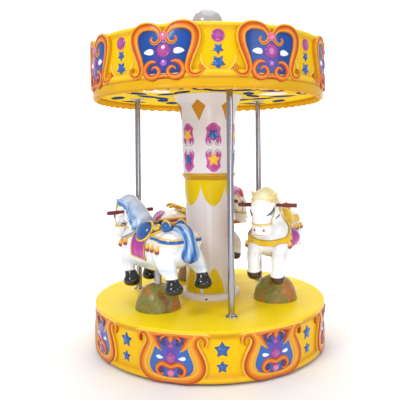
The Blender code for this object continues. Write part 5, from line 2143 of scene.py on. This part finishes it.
    def rear_lobe(self, bundle: Bundle, side: int) -> None:
        """Adds one lobe behind the seat: a knob in a gold hoop, or a plain gold roll on the pink saddle.

        Args:
            bundle: Where it goes.
            side: 1 for the horse's left, -1 for its right.
        """
        if self.tack.saddle is Finish.SADDLE_PINK:
            roll = metres((-205, 34), (-192, 46), (-160, 44), (-120, 33), (-80, 22))
            line = [self.onto((x, 0.0, 0.4), (0.0, 0.4 * side, 0.88), high) for x, high in roll]
            bundle.tube(line, 0.0125, 1)
            return
        knob = self.onto((-0.158, 0.0, 0.4), (0.0, 0.44 * side, 0.86), 0.016)
        bundle.take(oval_ball(knob, (0.04, 0.034, 0.034)), 2)
        hoop = [knob + Vector((0.041 * cos(t), 0.004 * side, 0.035 * sin(t))) for t in np.linspace(0.1, 2.9, 9)]
        bundle.tube(hoop, 0.0055, 1)

    def wing(self, bundle: Bundle, side: int) -> None:
        """Adds one round wing of the saddle's front, a domed pad in a gold rim.

        Args:
            bundle: Where it goes.
            side: 1 for the horse's left, -1 for its right.
        """
        middle = self.onto((0.02, 0.0, 0.4), (0.0, 0.76 * side, 0.69), 0.014)
        out = Vector((0.08, 0.86 * side, 0.5)).normalized()
        fore = (Vector((0.35, 0.0, 0.94)) - out * out.dot(Vector((0.35, 0.0, 0.94)))).normalized()
        aside = out.cross(fore)
        rings, sides = 8, 36
        vertices, across = [], []
        for i in range(rings):
            share = i / rings
            for turn in turns(sides):
                spot = middle + (fore * (0.066 * cos(turn)) + aside * (0.073 * sin(turn))) * (1 - share)
                vertices.append(spot + out * (0.004 + 0.038 * (1 - (1 - share) ** 2) ** 0.6))
                # across runs from the rim to the crown, where the saddle's stops paint a highlight.
                across.append(share)
        faces = bands(rings, sides)
        tip, last = len(vertices), (rings - 1) * sides
        vertices += [middle + out * 0.042, middle - out * 0.05]
        across += [1.0, 0.0]
        for k in range(sides):
            j = (k + 1) % sides
            faces += [(last + k, last + j, tip), (j, k, tip + 1)]
        bundle.take((vertices, faces), 2, across)
        ring = np.linspace(0, 2 * pi, 25)[:-1]
        rim = [middle + fore * (0.061 * cos(t)) + aside * (0.071 * sin(t)) + out * 0.006 for t in ring]
        bundle.tube(rim, 0.008, 1, closed=True, spans=2)

    def blanket(self) -> None:
        """Blanket that hangs on both sides below the saddle, with a gold hem."""
        bundle = Bundle()
        top = 0.45 if self.padding < 0.02 else 0.4
        for side in (1, -1):

            def cast(u: float, v: float) -> tuple[Vector, Vector]:
                """From the front edge to the rear one, and down from the saddle to the hem.

                Args:
                    u: Place across the blanket.
                    v: Place down it.

                Returns:
                    Inside point and outward direction.
                """
                height = top - 0.14 * v - 0.016 * u
                return Vector((0.112 - 0.132 * u - 0.008 * v, 0.0, height)), Vector((0.0, float(side), 0.1))

            def fold(u: float, v: float) -> float:
                """Soft padding with slight folds towards the hem.

                Args:
                    u: Place across the blanket.
                    v: Place down it.

                Returns:
                    Lift of its top.
                """
                plump = (sin(pi * u) * sin(pi * v)) ** 0.6
                return 0.005 + self.padding * plump + 0.002 * sin(u * 16) * v

            shape, across, strand = self.sheet(cast, 22, 22, fold)
            bundle.take(shape, 0, strand, across)
            hem = [(0.0, k / 8) for k in range(9)] + [(k / 8, 1.0) for k in range(1, 9)]
            hem += [(1.0, 1 - k / 8) for k in range(1, 9)]
            bundle.tube([self.onto(*cast(u, v), 0.006) for u, v in hem], 0.0042, 1)
        self.piece("blanket", bundle, [self.tack.blanket, Finish.RIM_GOLD])

    def straps(self) -> None:
        """Breast collar, band round the haunches, and the tassels under both."""
        bundle = Bundle()
        low, high, half = (0.34, 0.455, 0.019) if self.wide_collar else (0.395, 0.465, 0.014)
        collar, girth = [], []
        for k in range(41):
            turn = radians(-104 + 208 * k / 40)
            height = high - (high - low) * max(0.0, cos(turn * 0.86)) ** 0.8
            collar.append((Vector((0.13, 0.0, height)), Vector((cos(turn), sin(turn), 0.0))))
        for k in range(49):
            turn = radians(58 + 244 * k / 48)
            inside = Vector((-0.12, 0.0, 0.436 - 0.004 * cos(turn * 2)))
            girth.append((inside, Vector((cos(turn), sin(turn) * 1.1, 0.0))))
        hung = (7, 11, 29, 33) if self.wide_collar else (6, 10, 14, 26, 30, 34)
        rows = ((collar, half, 0.008, hung, half + 0.018), (girth, 0.026, 0.006, (1, 6, 11, 37, 42, 47), 0.053))
        for finish, (casts, width, thick, places, drop) in enumerate(rows):
            self.strap(bundle, casts, width, thick, finish)
            for k in places:
                inside, way = casts[k]
                self.tassel(bundle, Vector((inside.x, 0.0, inside.z - drop)), way)
        self.piece("harness", bundle, [self.tack.collar, self.tack.girth, Finish.TASSEL])

    def tassel(self, bundle: Bundle, inside: Vector, way: Vector) -> None:
        """Adds a drop-shaped tassel on the coat.

        Args:
            bundle: Where it goes.
            inside: A point inside the coat.
            way: Direction outwards.
        """
        top = self.onto(inside, way, 0.003)
        rows = metres((24, 7), (14, 13), (1, 16.5), (-10, 17), (-18, 13), (-22, 4))
        shape = lofted([(top.x, top.y, top.z + rise, size, size * 0.9) for rise, size in rows], 14, 3)
        bundle.take(shape, 2, [min(1.0, max(0.0, (v.z - top.z + 0.022) / 0.044)) for v in shape[0]])

    def face(self) -> None:
        """Bridle with rosettes, closed eyes with lashes, nostrils and mouth."""
        bundle = Bundle()
        loop = []
        for turn in turns(28):
            inside = (0.356, 0.0, 0.466 - 0.006 * cos(turn))
            loop.append(self.at_head(inside, (cos(turn), sin(turn), 0.0)))
        self.strap(bundle, loop, 0.0065, 0.0045, 0, closed=True)
        for side in (1, -1):
            cheek, rein = [], []
            for t in np.linspace(0, 1, 13):
                low = 0.47 - 0.012 * sin(t * 3.1) + 0.03 * t
                cheek.append(self.at_head((0.335 + 0.012 * t, 0.0, 0.59 - 0.118 * t), (-0.1 + 0.34 * t, side, 0.0)))
                rein.append(self.at_head((0.34 - 0.1 * t, 0.0, low), (0.15 - 0.45 * t, side, 0.05), 1 - 0.5 * t))
            self.strap(bundle, cheek, 0.003, 0.004, 0)
            self.strap(bundle, rein, 0.003, 0.004, 1)
            rosettes = (((0.322, 0.0, 0.58), (0.05, side, 0.25), 0.011),
                ((0.345, 0.0, 0.468), (0.2, side, 0.0), 0.009))
            for spot, way, size in rosettes:
                centre = self.onto(*self.at_head(spot, way), 0.002)
                bundle.take(oval_ball(centre, (size, size * 0.7, size)), 2)
            self.eye(bundle, side)
            nostril = self.onto(*self.at_head((0.362, 0.0, 0.432), (0.8, 0.56 * side, 0.0)), 0.0005)
            bundle.take(oval_ball(nostril, (0.004, 0.0068, 0.008)), 4)
        lip = []
        for t in np.linspace(-0.75, 0.75, 11):
            inside = (0.356, 0.0, 0.408 - 0.003 * cos(t * 2))
            lip.append(self.onto(*self.at_head(inside, (cos(t), sin(t), -0.05)), 0.0002))
        bundle.tube(lip, 0.0012, 4, spans=2)
        self.piece("bridle", bundle, [Finish.BRIDLE, Finish.REIN, Finish.RIM_GOLD, Finish.LASH, Finish.LIP])

    def eye(self, bundle: Bundle, side: int) -> None:
        """Adds a lowered eyelid's line with its lashes.

        Args:
            bundle: Where it goes.
            side: 1 for the horse's left, -1 for its right.
        """

        def spot(outward: float, up: float) -> Vector:
            """Place on the eye's side of the head."""
            way = (1.0 - outward, (0.36 + 0.72 * outward) * side, 0.0)
            return self.onto(*self.at_head((0.334, 0.0, 0.54 + up), way), 0.0014)

        def lid(t: float) -> tuple[float, float]:
            """The line of the closed lid, low at the nose and high at the temple."""
            return 0.26 + 0.56 * t, -0.026 + 0.048 * t - 0.006 * sin(t * pi)

        bundle.tube([spot(*lid(t)) for t in np.linspace(0, 1, 9)], 0.0038, 3, spans=2)
        for t in (0.4, 0.56, 0.72, 0.88):
            outward, up = lid(t)
            lash = [spot(outward, up), spot(outward + 0.06, up - 0.008), spot(outward + 0.14, up - 0.011)]
            bundle.tube(lash, 0.0027, 3, spans=2)

    def handlebar(self) -> None:
        """Bar through the neck with a ribbed grip at each end."""
        bundle = Bundle()
        half, x, z, sides = 0.175, 0.275, 0.565, 20
        profile = metres((10, 0), (10, 88), (11.2, 92), (12.5, 96))
        for k in range(7):
            start = 0.098 + k * 0.0105
            profile += [(0.0125, start), (0.0119, start + 0.002), (0.0125, start + 0.004)]
        profile += [(0.0125, half - 0.003), (0.0105, half), (0.0, half)]
        for side in (1, -1):
            vertices = [Vector((x + r * cos(t), y * side, z + r * sin(t))) for r, y in profile for t in turns(sides)]
            bundle.take((vertices, bands(len(profile), sides)))
        self.piece("grip_bar", bundle, [Finish.GRIP], ["handlebar"], 30.0)

    def rod(self) -> None:
        """Stainless lift rod up to the belly."""
        radius, low = 0.0218, 0.02 - 0.07
        profile = [(0.0, low), (radius, low), (radius, 0.22), (radius, 0.262), (0.0, 0.262)]
        mesh = turned_mesh(f"{self.name}_lift_rod", profile, POLE_STEPS, closed=False)
        self.piece("lift_rod", mesh, [Finish.STEEL], ["rod"], 38.0)


HORSES: tuple[Horse, ...] = (
    Horse("blue", 0.0, Stride.GATHERED,
        Tack(Finish.COAT_BLACK_HOOF, Finish.MANE_BLUE, Finish.MANE_BLUE, Finish.SADDLE_BLUE, Finish.SADDLE_BLUE,
            Finish.COLLAR_BLUE, Finish.GIRTH_BLUE), hoof_top=0.03),
    Horse("yellow", 0.06, Stride.LEAPING,
        Tack(Finish.COAT_BROWN_HOOF, Finish.MANE_CREAM, Finish.MANE_CREAM, Finish.SADDLE_GOLD, Finish.SADDLE_GOLD,
            Finish.COLLAR_GOLD, Finish.GIRTH_GOLD), wide_collar=True, padding=0.046, head_turn=-11.0),
    Horse("pink", 0.015, Stride.LEAPING,
        Tack(Finish.COAT_BROWN_HOOF, Finish.MANE_PINK, Finish.PLUME_RED, Finish.SADDLE_PINK, Finish.SEAT_PALE,
            Finish.COLLAR_PINK, Finish.GIRTH_PINK), padding=0.03))


def main() -> None:
    """Builds every sub-assembly in order."""
    logging.basicConfig(level=logging.INFO, format="%(message)s")
    for part in (Studio(), GroundFrame(), BaseDrum(), Column(), Poles(), Canopy(), Rocks(), *HORSES):
        log.info("building %s", type(part).__name__)
        part.build()


if __name__ == "__main__":
    main()
